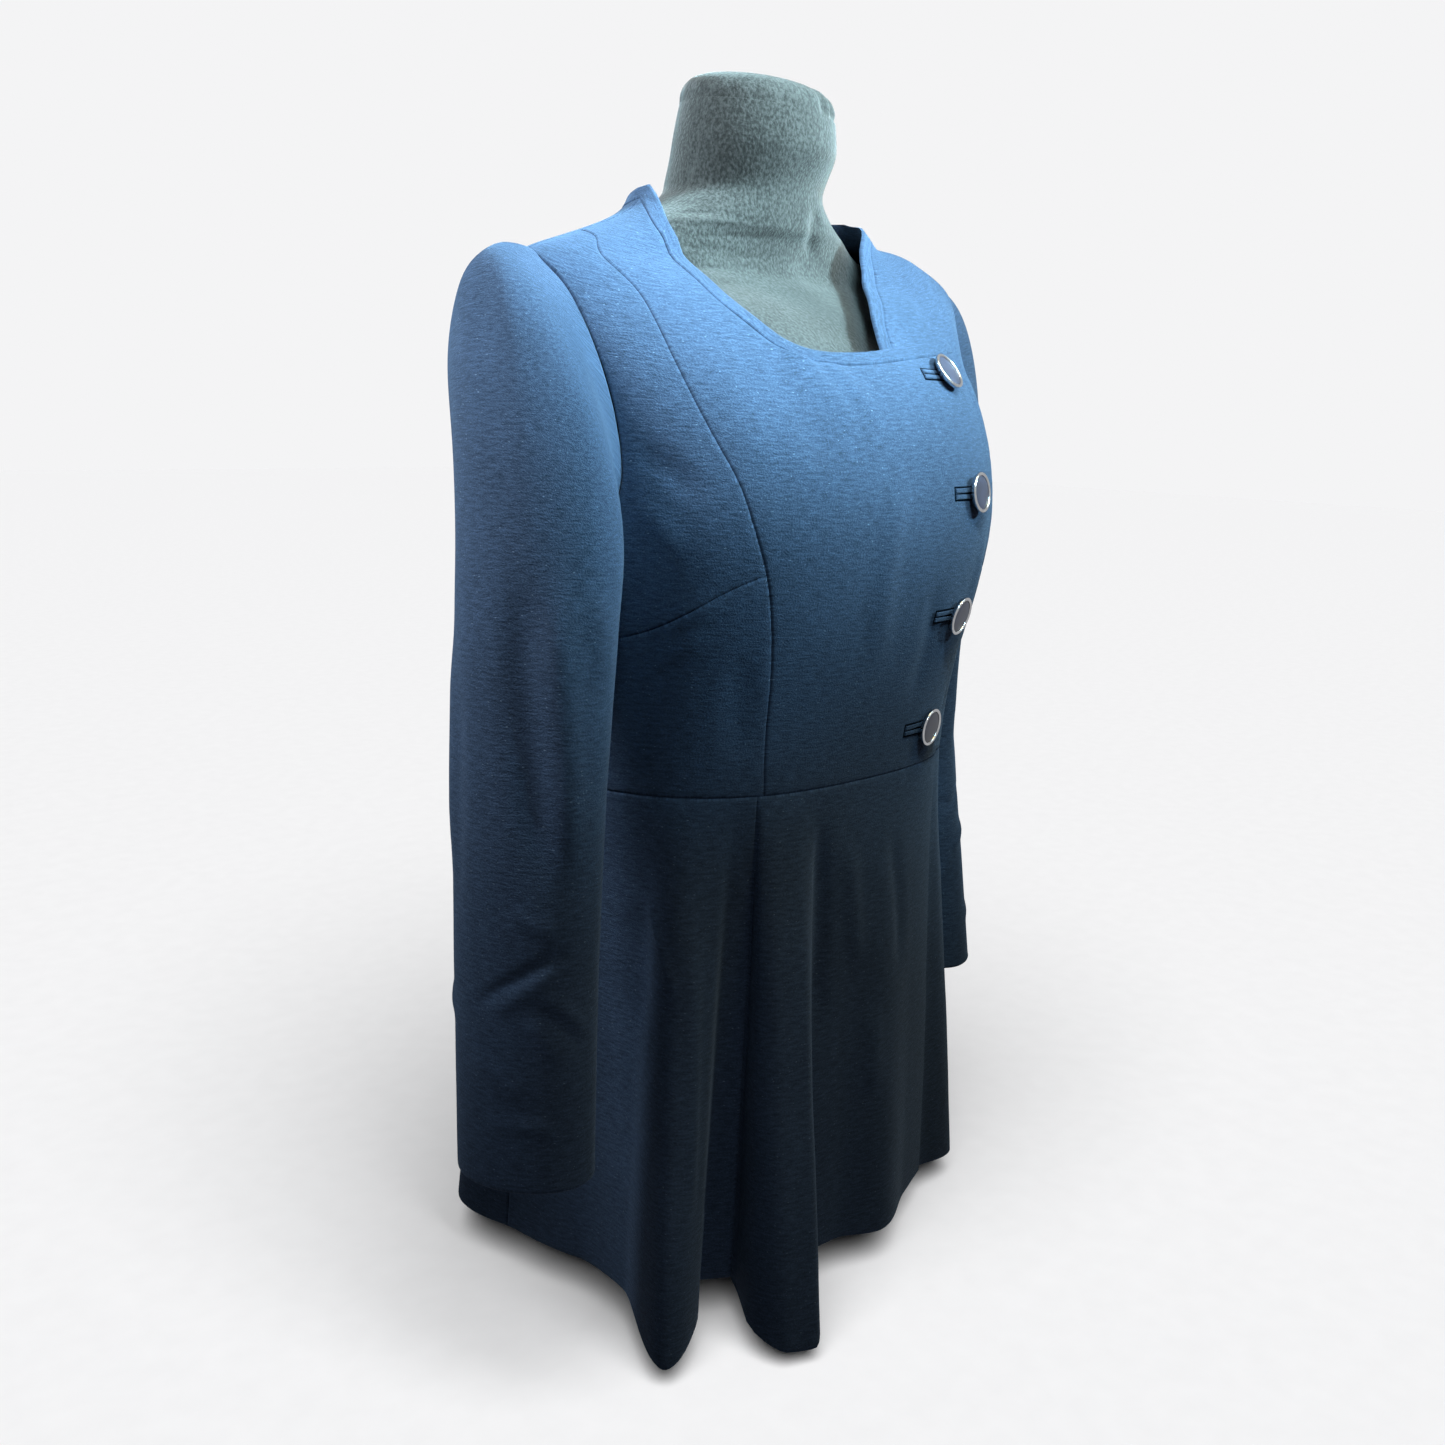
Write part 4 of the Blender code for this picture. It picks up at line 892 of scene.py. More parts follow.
def make_bodice(cloth, lie, strength):
    """The two fronts with their shoulder princess and bust seams, and the two backs."""
    paths = bodice_seams()
    princess, shoulder_in, back_low = (paths[key] for key in ("princess", "shoulder_in", "back_low"))
    side_low, arm_low = paths["side_low"], paths["arm_low"]

    def rising(start, end, count):
        """An edge of the bodice in steps of equal length."""
        return even(straight(start, end, EDGE_SAMPLES), count * FINE, torso)

    def centre(close_angle, neck_beside, neck_along):
        """A front's centre piece: a block up to the chest and a strap beside the neck."""
        foot, chest = princess[0][0], princess[2][-1]
        chest_line = straight(chest, neck_along[0], CHEST_COUNT * FINE)
        closing = place(close_angle, 0)
        waist = straight(foot, closing, CHEST_COUNT * FINE + len(neck_along) - 1)
        body = filled(waist, joined(chest_line, neck_along), joined(*princess[:3]),
                      rising(closing, neck_along[-1], CLOSING_COUNT))
        strap = filled(chest_line, shoulder_in, princess[3], neck_beside[::-1])
        return [body, strap]

    line = straight(arm_low[-1], princess[1][-1], CHEST_COUNT * FINE)
    upper = [filled(paths["bust"], joined(arm_low, line), paths["side_high"], princess[1]),
             filled(line, paths["shoulder_out"], paths["arm_high"], joined(*princess[2:]))]
    lower = [filled(straight(side_low[0], princess[0][0], SIDE_COUNT * FINE), paths["bust"], side_low,
                    princess[0])]
    foot, back_neck = place(-180, 0), paths["back_neck"]
    back_line = straight(place(-180, BACK_LINE_HEIGHT), back_low[-1], BACK_LINE_COUNT * FINE)
    back_top = joined(back_neck, shoulder_in[::-1], paths["shoulder_out"][::-1])
    back = [filled(straight(foot, side_low[0], BACK_COUNT * FINE), joined(back_line, back_low[::-1]),
                   rising(foot, back_line[0], BACK_RISE_COUNTS[0]), joined(side_low, paths["side_high"])),
            filled(back_line, back_top, rising(back_line[0], back_neck[0], BACK_RISE_COUNTS[1]),
                   paths["back_high"])]
    creases, grain = scaled(BODICE_CREASES, strength), bodice_grain()
    right = centre(CLOSURE_ANGLE, paths["neck_side"], paths["neck_low"])
    left = mirrored(centre(-UNDERLAP_ANGLE, paths["left_side"], paths["left_low"]))
    welts = [bpy.data.objects[f"shell_buttonhole_{number}_{side}"]
             for number in range(1, len(BUTTON_HEIGHTS) + 1) for side in ("upper", "lower", "ditch")]
    for name, blocks, hidden, trim in (
            ("front_right_centre", right, None, welts), ("front_right_upper_side", upper, None, ()),
            ("front_right_lower_side", lower, None, ()), ("back_right", back, None, ()),
            ("front_left_centre", left, underlap, ()),
            ("front_left_upper_side", mirrored(upper), underlap, ()),
            ("front_left_lower_side", mirrored(lower), underlap, ()),
            ("back_left", mirrored(back), None, ())):
        cloth_shell(name, torso, blocks, cloth, grain, creases, behind=hidden, lie=lie)


def scaled(creases, strength):
    """The creases of a table with their depths times a strength."""
    return [(*row[:7], row[7] * strength) for row in creases]


def make_band(cloth, lie):
    """The narrow band round the neck, from the closing corner round the back to the underlap."""
    paths = bodice_seams()
    right = joined(paths["neck_side"], paths["neck_low"])[::-1]
    left = joined(paths["left_side"], paths["left_low"])
    left_half = [neck * (-1, 1) - (360, 0) for neck in (paths["back_neck"], left)]
    path = joined(right, paths["back_neck"][::-1], *left_half)[::-1]
    edge = moved_up(path, BAND_WIDTH)
    shares = np.linspace(0, 1, BAND_ROWS + 1)[:, None, None]
    strip = path[None] + shares * (edge - path)[None]
    reach = lengths(torso(path))
    known = {tuple(np.round(strip[i, j], SPOT_DIGITS)): (reach[j], BAND_WIDTH * i / BAND_ROWS)
             for i, j in np.ndindex(*strip.shape[:2])}

    def grain(spots):
        """The band's ribs run along it, because it is cut along the cloth."""
        return np.array([known[tuple(np.round(spot, SPOT_DIGITS))] for spot in spots])

    cloth_shell("neck_band", torso, [strip], cloth, grain, thick=BAND_CLOTH, raise_by=BAND_RAISE,
                behind=band_underlap, lie=lie / 2)


def make_skirt(cloth, lie, strength):
    """The skirt's six pieces, with the pleat under the right princess seam."""
    grain = arc_table(skirt, -180, 180, -1, 0, 0, 0)
    creases = scaled(SKIRT_CREASES, strength)
    for name, start, end, columns, lapped in SKIRT_PIECES:
        block = lattice(start, end, -1, 0, columns * FINE, SKIRT_ROWS * FINE)
        cloth_shell(name, skirt, [block], cloth, grain, creases, behind=underlap if lapped else None,
                    lie=lie)


def make_sleeves(cloth, lie, strength):
    """A two-piece sleeve for each side, from the armhole's own points."""
    paths = bodice_seams()
    front = (paths["arm_high"][::-1], paths["arm_low"][::-1])
    armhole = joined(*(path[::FINE] for path in (*front, paths["back_low"], paths["back_high"])))
    count = len(armhole) - 1
    under, middle = ARMHOLE_COUNTS[0], count // 2
    rows = [np.linspace(k, k + 1, count + 1) for k, count in enumerate(SLEEVE_ROWS)]
    for side, sections in SLEEVES.items():
        flip = 1 if side == "right" else -1
        surface = sleeve_surface(sections, torso(armhole * (flip, 1)) * (flip, 1, 1), CAP_REACH[side])

        def face(spots, surface=surface, flip=flip):
            return surface(spots * (flip, 1)) * (flip, 1, 1)

        low, high = sorted((flip * (middle - under), flip * (middle - under + count)))
        grain = arc_table(face, low, high, 0, 2, low, 1)
        creases = scaled(SLEEVE_CREASES[side], strength)
        for name, start, end in (("under", middle - under, middle + under),
                                 ("upper", middle + under, middle - under + count)):
            u, v = np.meshgrid(np.linspace(start, end, (end - start) * FINE + 1), joined(*rows))
            block = np.stack([u, v], -1)
            if flip < 0:
                block = mirrored([block])[0]
            cloth_shell(f"sleeve_{side}_{name}", face, [block], cloth, grain, creases,
                        step=SLEEVE_NORMAL_STEP, lie=lie)


def button_matrix(height):
    """Where a button stands: its centre on the cloth and its axis straight out."""
    spot = place(BUTTON_ANGLE, height)
    out = Vector(normals(torso, spot))
    across = Vector((0, 0, 1)).cross(out).normalized()
    matrix = Matrix((across, out.cross(across), out)).transposed().to_4x4()
    matrix.translation = Vector(torso(spot)) + Vector((0, 0, WAIST_HEIGHT))
    return matrix


def make_welts(cloth, painted_shade):
    """The two rounded welts of each bound buttonhole, with the slit between them over a dark strip of
    painted shade.
    """
    grain = bodice_grain()
    for number, height in enumerate(BUTTON_HEIGHTS, 1):
        spot = place(BUTTON_ANGLE, height)
        per_degree, per_level = (np.linalg.norm(slope) for slope in slopes(torso, spot, WELT_STEP))
        start = BUTTON_ANGLE - (WELT_LENGTH - WELT_PAST) / per_degree
        end = BUTTON_ANGLE + WELT_PAST / per_degree
        for side, sign in (("upper", 1), ("lower", -1)):
            block = lattice(start, end, 0, 1, WELT_COLUMNS, WELT_ROWS)
            gape = WELT_END_GAP + (WELT_MOUTH - WELT_END_GAP) * np.linspace(0, 1, WELT_COLUMNS + 1) ** 2
            block[..., 1] = spot[1] + sign * (gape / 2 + block[..., 1] * WELT_SHOWN) / per_level
            cloth_shell(f"buttonhole_{number}_{side}", torso, [block[::sign]], cloth, grain,
                        thick=WELT_RAISE - SEAM, raise_by=WELT_RAISE + WELT_PROUD, roll=WELT_ROLL, lap=0)
        reach = (WELT_MOUTH / 2 + WELT_SHOWN + DITCH_WIDTH) / per_level
        ditch = lattice(start - DITCH_WIDTH / per_degree, end, spot[1] - reach, spot[1] + reach,
                        WELT_COLUMNS, DITCH_ROWS)
        cloth_shell(f"buttonhole_{number}_ditch", torso, [ditch], painted_shade, grain, thick=DITCH_CLOTH,
                    raise_by=DITCH_RAISE, roll=DITCH_ROLL, lap=0)


def screwed(name, profile, finish, matrix):
    """A turned piece: its outline from the top of the axis, down the outer side and back to the axis."""
    count, verts, faces, rings = BUTTON_SEGMENTS, [], [], []
    turns = [2 * math.pi * k / count for k in range(count)]
    for radius, height in profile:
        if radius:
            rings.append(list(range(len(verts), len(verts) + count)))
            verts += [(radius * math.cos(turn), radius * math.sin(turn), height) for turn in turns]
        else:
            rings.append([len(verts)] * count)
            verts.append((0, 0, height))
    for above, below in zip(rings, rings[1:]):
        for k in range(count):
            quad = (above[k], below[k], below[(k + 1) % count], above[(k + 1) % count])
            corners = tuple(dict.fromkeys(quad))
            if len(corners) > 2:
                faces.append(corners)
    return add_piece(name, [tuple(matrix @ Vector(vert)) for vert in verts], faces, finish)


def make_buttons(metal, enamel):
    """Four shank buttons: a plated cup with a rolled rim, and the enamel set down in it."""
    back, front = BUTTON_STAND, BUTTON_STAND + BUTTON_THICKNESS
    rim, seat, foot = BUTTON_RADIUS - BUTTON_RIM, BUTTON_STAND + BUTTON_SEAT, WELT_RAISE + SEAM
    roll = [(rim + BUTTON_RIM / 2 * (1 - math.cos(turn)), front - RIM_ROLL + RIM_ROLL * math.sin(turn))
            for turn in np.linspace(RIM_ENDS, math.pi - RIM_ENDS, RIM_STEPS)]
    side = [(BUTTON_RADIUS - inset, back + height) for inset, height in CUP_SIDE]
    body = [(0, seat), (rim, seat), (rim, front - RIM_ROLL), *roll, *side, (SHANK_RADIUS, back),
            (SHANK_RADIUS, foot), (0, foot)]
    inlay = rim - SEAM / 2
    face = [(inlay * share, front - depth) for share, depth in ENAMEL_FACE]
    face += [(inlay, seat + SEAM), (0, seat + SEAM)]
    for number, height in enumerate(BUTTON_HEIGHTS, 1):
        matrix = button_matrix(height)
        screwed(f"button_{number}_body", body, metal, matrix)
        screwed(f"button_{number}_inlay", face, enamel, matrix)


def form_rings():
    """Fine rings of the dress form's body. Under the coat they keep inside the solid's flat sides."""
    fine = np.linspace(0, len(FORM) - 1, (len(FORM) - 1) * FORM_STEPS + 1)
    rows = eased(range(len(FORM)), FORM)(fine)
    angles = np.radians(np.linspace(-180, 180, FORM_FINE_SEGMENTS + 1)[:-1])
    rings = []
    for row in rows:
        ring = ring_point(np.tile(row, (len(angles), 1)), angles)
        tuck = FORM_TUCK * (1 - fade(row[0], *TUCK_END))
        middle = np.array((0, row[4], row[0]))
        aim = (ring - middle) / np.linalg.norm(ring - middle, axis=1, keepdims=True)
        rings.append(ring - aim * tuck)
    return angles, np.array(rings)


def leaned(ring):
    """The ring raised to the waist's height, tilted down to the front left near the neck's top."""
    aside = (ring[:, 0] - ring[:, 1] + FORM[-1][4]) / math.sqrt(2)
    drop = aside * CAP_TILT * fade(ring[:, 2], *LEAN_START)
    return ring + (0, 0, WAIST_HEIGHT) - np.outer(drop, (0, 0, 1))


def lofted(name, rings, finish):
    """A closed body through fine rings of points, with a fan of triangles over each end."""
    count, last = len(rings[0]), len(rings) * len(rings[0])
    verts = np.concatenate([*rings, [ring.mean(0) for ring in (rings[0], rings[-1])]])
    pairs = [(k, (k + 1) % count) for k in range(count)]
    faces = [(i + a, i + b, i + count + b, i + count + a) for i in range(0, last - count, count)
             for a, b in pairs]
    faces += [(b, a, last) for a, b in pairs]
    faces += [(last - count + a, last - count + b, last + 1) for a, b in pairs]
    return add_piece(name, verts, faces, finish)


def make_form(jersey):
    """The dress form's covered body with its soft neck, and the covered cap on top."""
    angles, rings = form_rings()
    out = np.stack([np.sin(angles), -np.cos(angles), 0 * angles], -1)
    lift = np.zeros(rings.shape[:2])
    for turn, height, width, tall, depth, slope in NECK_WRINKLES:
        away = np.mod(np.degrees(angles) - turn + 180, 360) - 180
        gap = rings[..., 2] - height - slope * away / 1000
        lift += depth / 1000 * np.exp(-(away / width) ** 2 - (gap * 1000 / tall) ** 2)
    rings += out * lift[..., None]
    lofted("form_body", [leaned(ring) for ring in rings], jersey)
    centre = np.array((0, FORM[-1][4], 0))
    cap = []
    fine = np.linspace(0, len(CAP) - 1, (len(CAP) - 1) * CAP_STEPS + 1)
    for height, radius in eased(range(len(CAP)), CAP)(fine):
        gathers = CAP_PUCKER * np.sin(CAP_PUCKERS * angles + 1)
        for turn, width, lift in CAP_GATHERS:
            gathers += lift / 1000 / radius * np.exp(-((np.degrees(angles) - turn) / width) ** 2)
        pucker = 1 + gathers * fade(height, *PUCKER_FOOT) * fade(radius, *PUCKER_MIDDLE)
        cap.append(leaned(centre + (0, 0, height) + out * (radius * pucker)[:, None]))
    lofted("form_neck_cap", cap, jersey)


def linear(code):
    """The linear RGBA of an sRGB hex colour."""
    parts = [int(code[k:k + 2], 16) / 255 for k in (1, 3, 5)]
    return (*(part / 12.92 if part <= 0.04045 else ((part + 0.055) / 1.055) ** 2.4 for part in parts), 1.0)


def feed(tree, socket, source):
    """Set an input to a value, or link it from an output or from a node's first output."""
    if isinstance(source, bpy.types.Node):
        source = source.outputs[0]
    if isinstance(source, bpy.types.NodeSocket):
        tree.links.new(source, socket)
    else:
        socket.default_value = source


def add_node(tree, kind, links=None, stops=(), **settings):
    """A node of a material with its settings, its inputs' values or links, and its colour stops if any."""
    node = tree.nodes.new(kind)
    for key, value in settings.items():
        setattr(node, key, value)
    for key, source in (links or {}).items():
        feed(tree, node.inputs[key], source)
    if stops:
        colours = node.color_ramp.elements
        colours.remove(colours[-1])
        colours[0].position, colours[0].color = stops[0]
        for position, colour in stops[1:]:
            colours.new(position).color = colour
    return node


def new_material(name, **shading):
    """A Principled material with its uniform values set on the shader's own sockets."""
    finish = bpy.data.materials.new(name)
    finish.use_nodes = True
    shader = finish.node_tree.nodes["Principled BSDF"]
    set_shader(finish.node_tree, shader, **shading)
    return finish, finish.node_tree, shader


def set_shader(tree, shader, **sources):
    """Set or link a shader's sockets, named in small letters with underscores."""
    for key, source in sources.items():
        feed(tree, shader.inputs[key.replace("_", " ").title().replace("Ior", "IOR")], source)


def shade(colour, share):
    """A linear colour made lighter or darker."""
    return (*(min(1.0, part * share) for part in colour[:3]), 1.0)


def woven_crepe(colour, rib_mm, sheen):
    """Slubbed wool-blend crepe, woven with fine cross ribs: matte, with pale flecks and a soft bloom."""
    finish, tree, shader = new_material("wool_crepe_woven_ribbed", roughness=0.82, ior=1.45,
                                        sheen_weight=sheen, sheen_roughness=0.42,
                                        sheen_tint=linear("#9DB6DA"), specular_ior_level=0.06)
    threads = add_node(tree, "ShaderNodeAttribute", attribute_name="grain").outputs["Vector"]
    # A rib is rib_mm from the next. Real ones are 1 to 1.5 mm apart, too fine to show, so they are coarser.
    per_metre = 1000 / rib_mm
    # The ribs waver by about 1 mm either way, over 38 mm.
    wander = add_node(tree, "ShaderNodeTexNoise", {"Vector": threads, "Scale": 26.0, "Detail": 2.0})
    bent = add_node(tree, "ShaderNodeVectorMath", {0: wander.outputs["Color"], 1: (0.0, 0.0022, 0.0)},
                    operation="MULTIPLY")
    lay = add_node(tree, "ShaderNodeVectorMath", {0: threads, 1: bent}, operation="ADD")
    # A slub is 4 ribs long and a little under one high, and the fibres in it are about half a rib.
    stretched = add_node(tree, "ShaderNodeVectorMath", {0: lay, 1: (per_metre / 4, per_metre * 1.1, 1.0)},
                         operation="MULTIPLY")
    slub = add_node(tree, "ShaderNodeTexNoise",
                    {"Vector": stretched, "Scale": 1.0, "Detail": 3.0, "Roughness": 0.6})
    short = add_node(tree, "ShaderNodeVectorMath", {0: lay, 1: (per_metre * 1.6, per_metre * 1.9, 1.0)},
                     operation="MULTIPLY")
    fibre = add_node(tree, "ShaderNodeTexNoise",
                     {"Vector": short, "Scale": 1.0, "Detail": 2.0, "Roughness": 0.7})
    # The dye's faint clouds are about 110 mm across.
    cloudy = add_node(tree, "ShaderNodeTexNoise", {"Vector": threads, "Scale": 9.0, "Detail": 3.0})
    mixed = add_node(tree, "ShaderNodeMath", {0: slub, 1: fibre}, operation="ADD")
    blend = add_node(tree, "ShaderNodeMath", {0: mixed, 1: 0.42, 2: 0.02}, operation="MULTIPLY_ADD")
    cloud = add_node(tree, "ShaderNodeMath", {0: cloudy, 1: 0.16, 2: blend}, operation="MULTIPLY_ADD")
    base = add_node(tree, "ShaderNodeValToRGB", {"Fac": cloud},
                    ((0.36, shade(colour, 0.5)), (0.50, colour), (0.64, shade(colour, 1.7))))
    # Loose fibres are finer than 1 mm, and are drawn as flecks 2.3 mm long and 1.4 mm high to show.
    flecks = add_node(tree, "ShaderNodeVectorMath", {0: threads, 1: (430.0, 700.0, 1.0)},
                      operation="MULTIPLY")
    fleck = add_node(tree, "ShaderNodeTexNoise", {"Vector": flecks, "Scale": 1.0, "Detail": 0.0})
    pale = add_node(tree, "ShaderNodeMapRange",
                    {"Value": fleck, "From Min": 0.775, "From Max": 0.83, "To Max": 0.4})
    colours = add_node(tree, "ShaderNodeMix", {"Factor": pale, 6: base, 7: linear("#7F93AC")},
                       data_type="RGBA")
    bump = add_node(tree, "ShaderNodeBump", {"Height": mixed, "Strength": 0.7, "Distance": 0.0006})
    set_shader(tree, shader, base_color=colours.outputs[2], normal=bump)
    return finish


def painted_shade_crepe(colour):
    """The same crepe darkened as painted shade, for the groove beside a buttonhole where almost no light
    reaches the ribs.
    """
    finish, tree, shader = new_material("wool_crepe_painted_shade", roughness=0.95, ior=1.45,
                                        specular_ior_level=0.0)
    threads = add_node(tree, "ShaderNodeAttribute", attribute_name="grain").outputs["Vector"]
    # The ribs are at their real 1.1 mm here, because they are seen only as a faint unevenness.
    rib = add_node(tree, "ShaderNodeTexNoise", {"Vector": threads, "Scale": 900.0, "Detail": 2.0})
    base = add_node(tree, "ShaderNodeValToRGB", {"Fac": rib},
                    ((0.35, shade(colour, 0.6)), (0.65, shade(colour, 1.4))))
    set_shader(tree, shader, base_color=base)
    return finish


def knitted_jersey(colour, stitch_mm):
    """Cotton-elastane jersey, knitted in fine columns and stretched over the form: dull, slightly grainy."""
    finish, tree, shader = new_material("cotton_jersey_knitted", roughness=0.88, ior=1.45, sheen_weight=0.25,
                                        sheen_roughness=0.5, specular_ior_level=0.1)
    places_at = add_node(tree, "ShaderNodeTexCoord").outputs["Object"]
    # Stitches are 0.6 mm across, too fine to show, so they are drawn at stitch_mm.
    per_metre = 1000 / stitch_mm
    columns = add_node(tree, "ShaderNodeVectorMath",
                       {0: places_at, 1: (per_metre, per_metre, per_metre * 0.7)}, operation="MULTIPLY")
    knit = add_node(tree, "ShaderNodeTexNoise",
                    {"Vector": columns, "Scale": 1.0, "Detail": 2.0, "Roughness": 0.6})
    # Rubbed patches are about 45 mm across.
    worn = add_node(tree, "ShaderNodeTexNoise", {"Vector": places_at, "Scale": 22.0, "Detail": 4.0})
    blend = add_node(tree, "ShaderNodeMath", {0: worn, 1: 0.25, 2: 0.0}, operation="MULTIPLY_ADD")
    tone = add_node(tree, "ShaderNodeMath", {0: knit, 1: 0.75, 2: blend}, operation="MULTIPLY_ADD")
    base = add_node(tree, "ShaderNodeValToRGB", {"Fac": tone},
                    ((0.38, shade(colour, 0.5)), (0.5, colour), (0.62, shade(colour, 1.7))))
    bump = add_node(tree, "ShaderNodeBump", {"Height": knit, "Strength": 0.8, "Distance": 0.0007})
    set_shader(tree, shader, base_color=base, normal=bump)
    return finish


def painted_steel(colour):
    """Sheet and tube steel with satin powder paint, whose fine orange peel breaks up the highlights."""
    finish, tree, shader = new_material("steel_powder_painted", metallic=0.0, ior=1.5)
    places_at = add_node(tree, "ShaderNodeTexCoord").outputs["Object"]
    # Orange peel is about 2 mm from hump to hump, and patches of dust are about 33 mm across.
    peel = add_node(tree, "ShaderNodeTexNoise", {"Vector": places_at, "Scale": 500.0, "Detail": 2.0})
    dust = add_node(tree, "ShaderNodeTexNoise", {"Vector": places_at, "Scale": 30.0, "Detail": 4.0})
    base = add_node(tree, "ShaderNodeValToRGB", {"Fac": dust},
                    ((0.35, shade(colour, 0.85)), (0.65, shade(colour, 1.15))))
    rough = add_node(tree, "ShaderNodeMapRange", {"Value": dust, "To Min": 0.38, "To Max": 0.5})
    bump = add_node(tree, "ShaderNodeBump", {"Height": peel, "Strength": 0.25, "Distance": 0.0002})
    set_shader(tree, shader, base_color=base, roughness=rough, normal=bump)
    return finish


def plated_brass(colour):
    """Pressed brass with polished silver-coloured plate, with the faint haze and wipe marks of wear."""
    finish, tree, shader = new_material("brass_silver_plated", metallic=1.0)
    places_at = add_node(tree, "ShaderNodeTexCoord").outputs["Object"]
    # Spots of haze are about 4 mm across.
    haze = add_node(tree, "ShaderNodeTexNoise", {"Vector": places_at, "Scale": 260.0, "Detail": 4.0})
    base = add_node(tree, "ShaderNodeValToRGB", {"Fac": haze},
                    ((0.3, shade(colour, 0.88)), (0.7, shade(colour, 1.06))))
    rough = add_node(tree, "ShaderNodeMapRange", {"Value": haze, "To Min": 0.12, "To Max": 0.26})
    set_shader(tree, shader, base_color=base, roughness=rough)
    return finish


def fired_enamel(colour):
    """Dark blue enamel poured into the cup, glossy but with the soft unevenness of a poured face."""
    finish, tree, shader = new_material("enamel_poured", ior=1.52, coat_weight=0.25, coat_roughness=0.3)
    places_at = add_node(tree, "ShaderNodeTexCoord").outputs["Object"]
    # The mottle is about 5.5 mm across, and the poured face waves over about 14 mm.
    mottle = add_node(tree, "ShaderNodeTexNoise", {"Vector": places_at, "Scale": 180.0, "Detail": 3.0})
    base = add_node(tree, "ShaderNodeValToRGB", {"Fac": mottle},
                    ((0.35, shade(colour, 0.8)), (0.65, shade(colour, 1.25))))
    rough = add_node(tree, "ShaderNodeMapRange", {"Value": mottle, "To Min": 0.32, "To Max": 0.42})
    pour = add_node(tree, "ShaderNodeTexNoise", {"Vector": places_at, "Scale": 70.0, "Detail": 1.0})
    bump = add_node(tree, "ShaderNodeBump", {"Height": pour, "Strength": 0.08, "Distance": 0.0006})
    set_shader(tree, shader, base_color=base, roughness=rough, normal=bump)
    return finish


def studio_paper(colour):
    """Matte seamless background paper, very slightly mottled."""
    finish, tree, shader = new_material("seamless_paper_matte", roughness=0.95, ior=1.45)
    places_at = add_node(tree, "ShaderNodeTexCoord").outputs["Object"]
    # The mottle is about 25 mm across.
    pulp = add_node(tree, "ShaderNodeTexNoise", {"Vector": places_at, "Scale": 40.0, "Detail": 3.0})
    base = add_node(tree, "ShaderNodeValToRGB", {"Fac": pulp},
                    ((0.3, shade(colour, 0.985)), (0.7, shade(colour, 1.01))))
    set_shader(tree, shader, base_color=base)
    return finish


def add_light(name, power, where, aim, spread, tint):
    """A square soft light that looks at a point."""
    data = bpy.data.lights.new(name, "AREA")
    data.shape = "SQUARE"
    data.size = LIGHT_SIDE
    data.energy = power
    data.color = tint
    data.spread = math.radians(spread)
    light = bpy.data.objects.new(name, data)
    bpy.context.scene.collection.objects.link(light)
    light.location = where
    light.rotation_euler = (Vector(aim) - Vector(where)).to_track_quat("-Z", "Y").to_euler()
    return light


def light_group(light, floor, state):
    """Let a light reach the floor alone, or all but the floor."""
    group = bpy.data.collections.new(light.name + "_reach")
    group.objects.link(floor)
    light.light_linking.receiver_collection = group
    for member in group.collection_objects:
        member.light_linking.link_state = state


def make_studio(scene, settings):
    """The photograph's camera, a pale paper floor and plain soft light from above the front."""
    ahead = Vector(CAMERA_AIM).normalized()
    right = ahead.cross(Vector((0, 0, 1))).normalized()
    up = right.cross(ahead)
    roll = math.radians(CAMERA_ROLL)
    across = right * math.cos(roll) + up * math.sin(roll)
    over = up * math.cos(roll) - right * math.sin(roll)
    matrix = Matrix((across, over, -ahead)).transposed().to_4x4()
    matrix.translation = Vector(CAMERA_PLACE)
    data = bpy.data.cameras.new("camera")
    data.sensor_width, data.lens = SENSOR_WIDTH, CAMERA_LENS
    camera = bpy.data.objects.new("camera", data)
    scene.collection.objects.link(camera)
    camera.matrix_world = matrix
    scene.camera = camera
    mesh = bpy.data.meshes.new("floor")
    corners = ((-1, -1), (1, -1), (1, 1), (-1, 1))
    mesh.from_pydata([(x * FLOOR_REACH, y * FLOOR_REACH, 0) for x, y in corners], [], [(0, 1, 2, 3)])
    mesh.materials.append(studio_paper(colour_of(settings.floor)))
    floor = bpy.data.objects.new("floor", mesh)
    scene.collection.objects.link(floor)
    # The floor is as bright as the room behind it, and the coat has no light thrown up from it.
    floor.visible_diffuse = False
    floor.visible_glossy = False
    for name, (power, *setup) in LIGHTS.items():
        light_group(add_light(name, power * settings.light, *setup), floor, "EXCLUDE")
    sky = bpy.data.lights.new("floor_light", "SUN")
    sky.energy = settings.floor_light
    sky.angle = math.radians(FLOOR_LIGHT_SOFTNESS)
    above = bpy.data.objects.new("floor_light", sky)
    scene.collection.objects.link(above)
    above.rotation_euler = (*map(math.radians, FLOOR_LIGHT_TILT), 0)
    light_group(above, floor, "INCLUDE")
    world = bpy.data.worlds.new("room")
    scene.world = world
    world.use_nodes = True
    tree = world.node_tree
    room = tree.nodes["Background"]
    room.inputs["Color"].default_value = linear("#FFFFFF")
    room.inputs["Strength"].default_value = settings.ambient
    backdrop = add_node(tree, "ShaderNodeBackground", {"Color": linear("#F4F4F5"), "Strength": 1.0})
    # The paper is seen and mirrored, and doesn't light the cloth.
    path = add_node(tree, "ShaderNodeLightPath").outputs
    seen = add_node(tree, "ShaderNodeMath",
                    {0: path["Is Glossy Ray"], 1: GLOSS_ROOM, 2: path["Is Camera Ray"]},
                    operation="MULTIPLY_ADD")
    mix = add_node(tree, "ShaderNodeMixShader", {0: seen, 1: room, 2: backdrop})
    feed(tree, tree.nodes["World Output"].inputs["Surface"], mix)
    scene.view_settings.view_transform = "Standard"


def colour_of(value):
    """A colour property's linear value with its alpha."""
    return (*value[:3], 1.0)


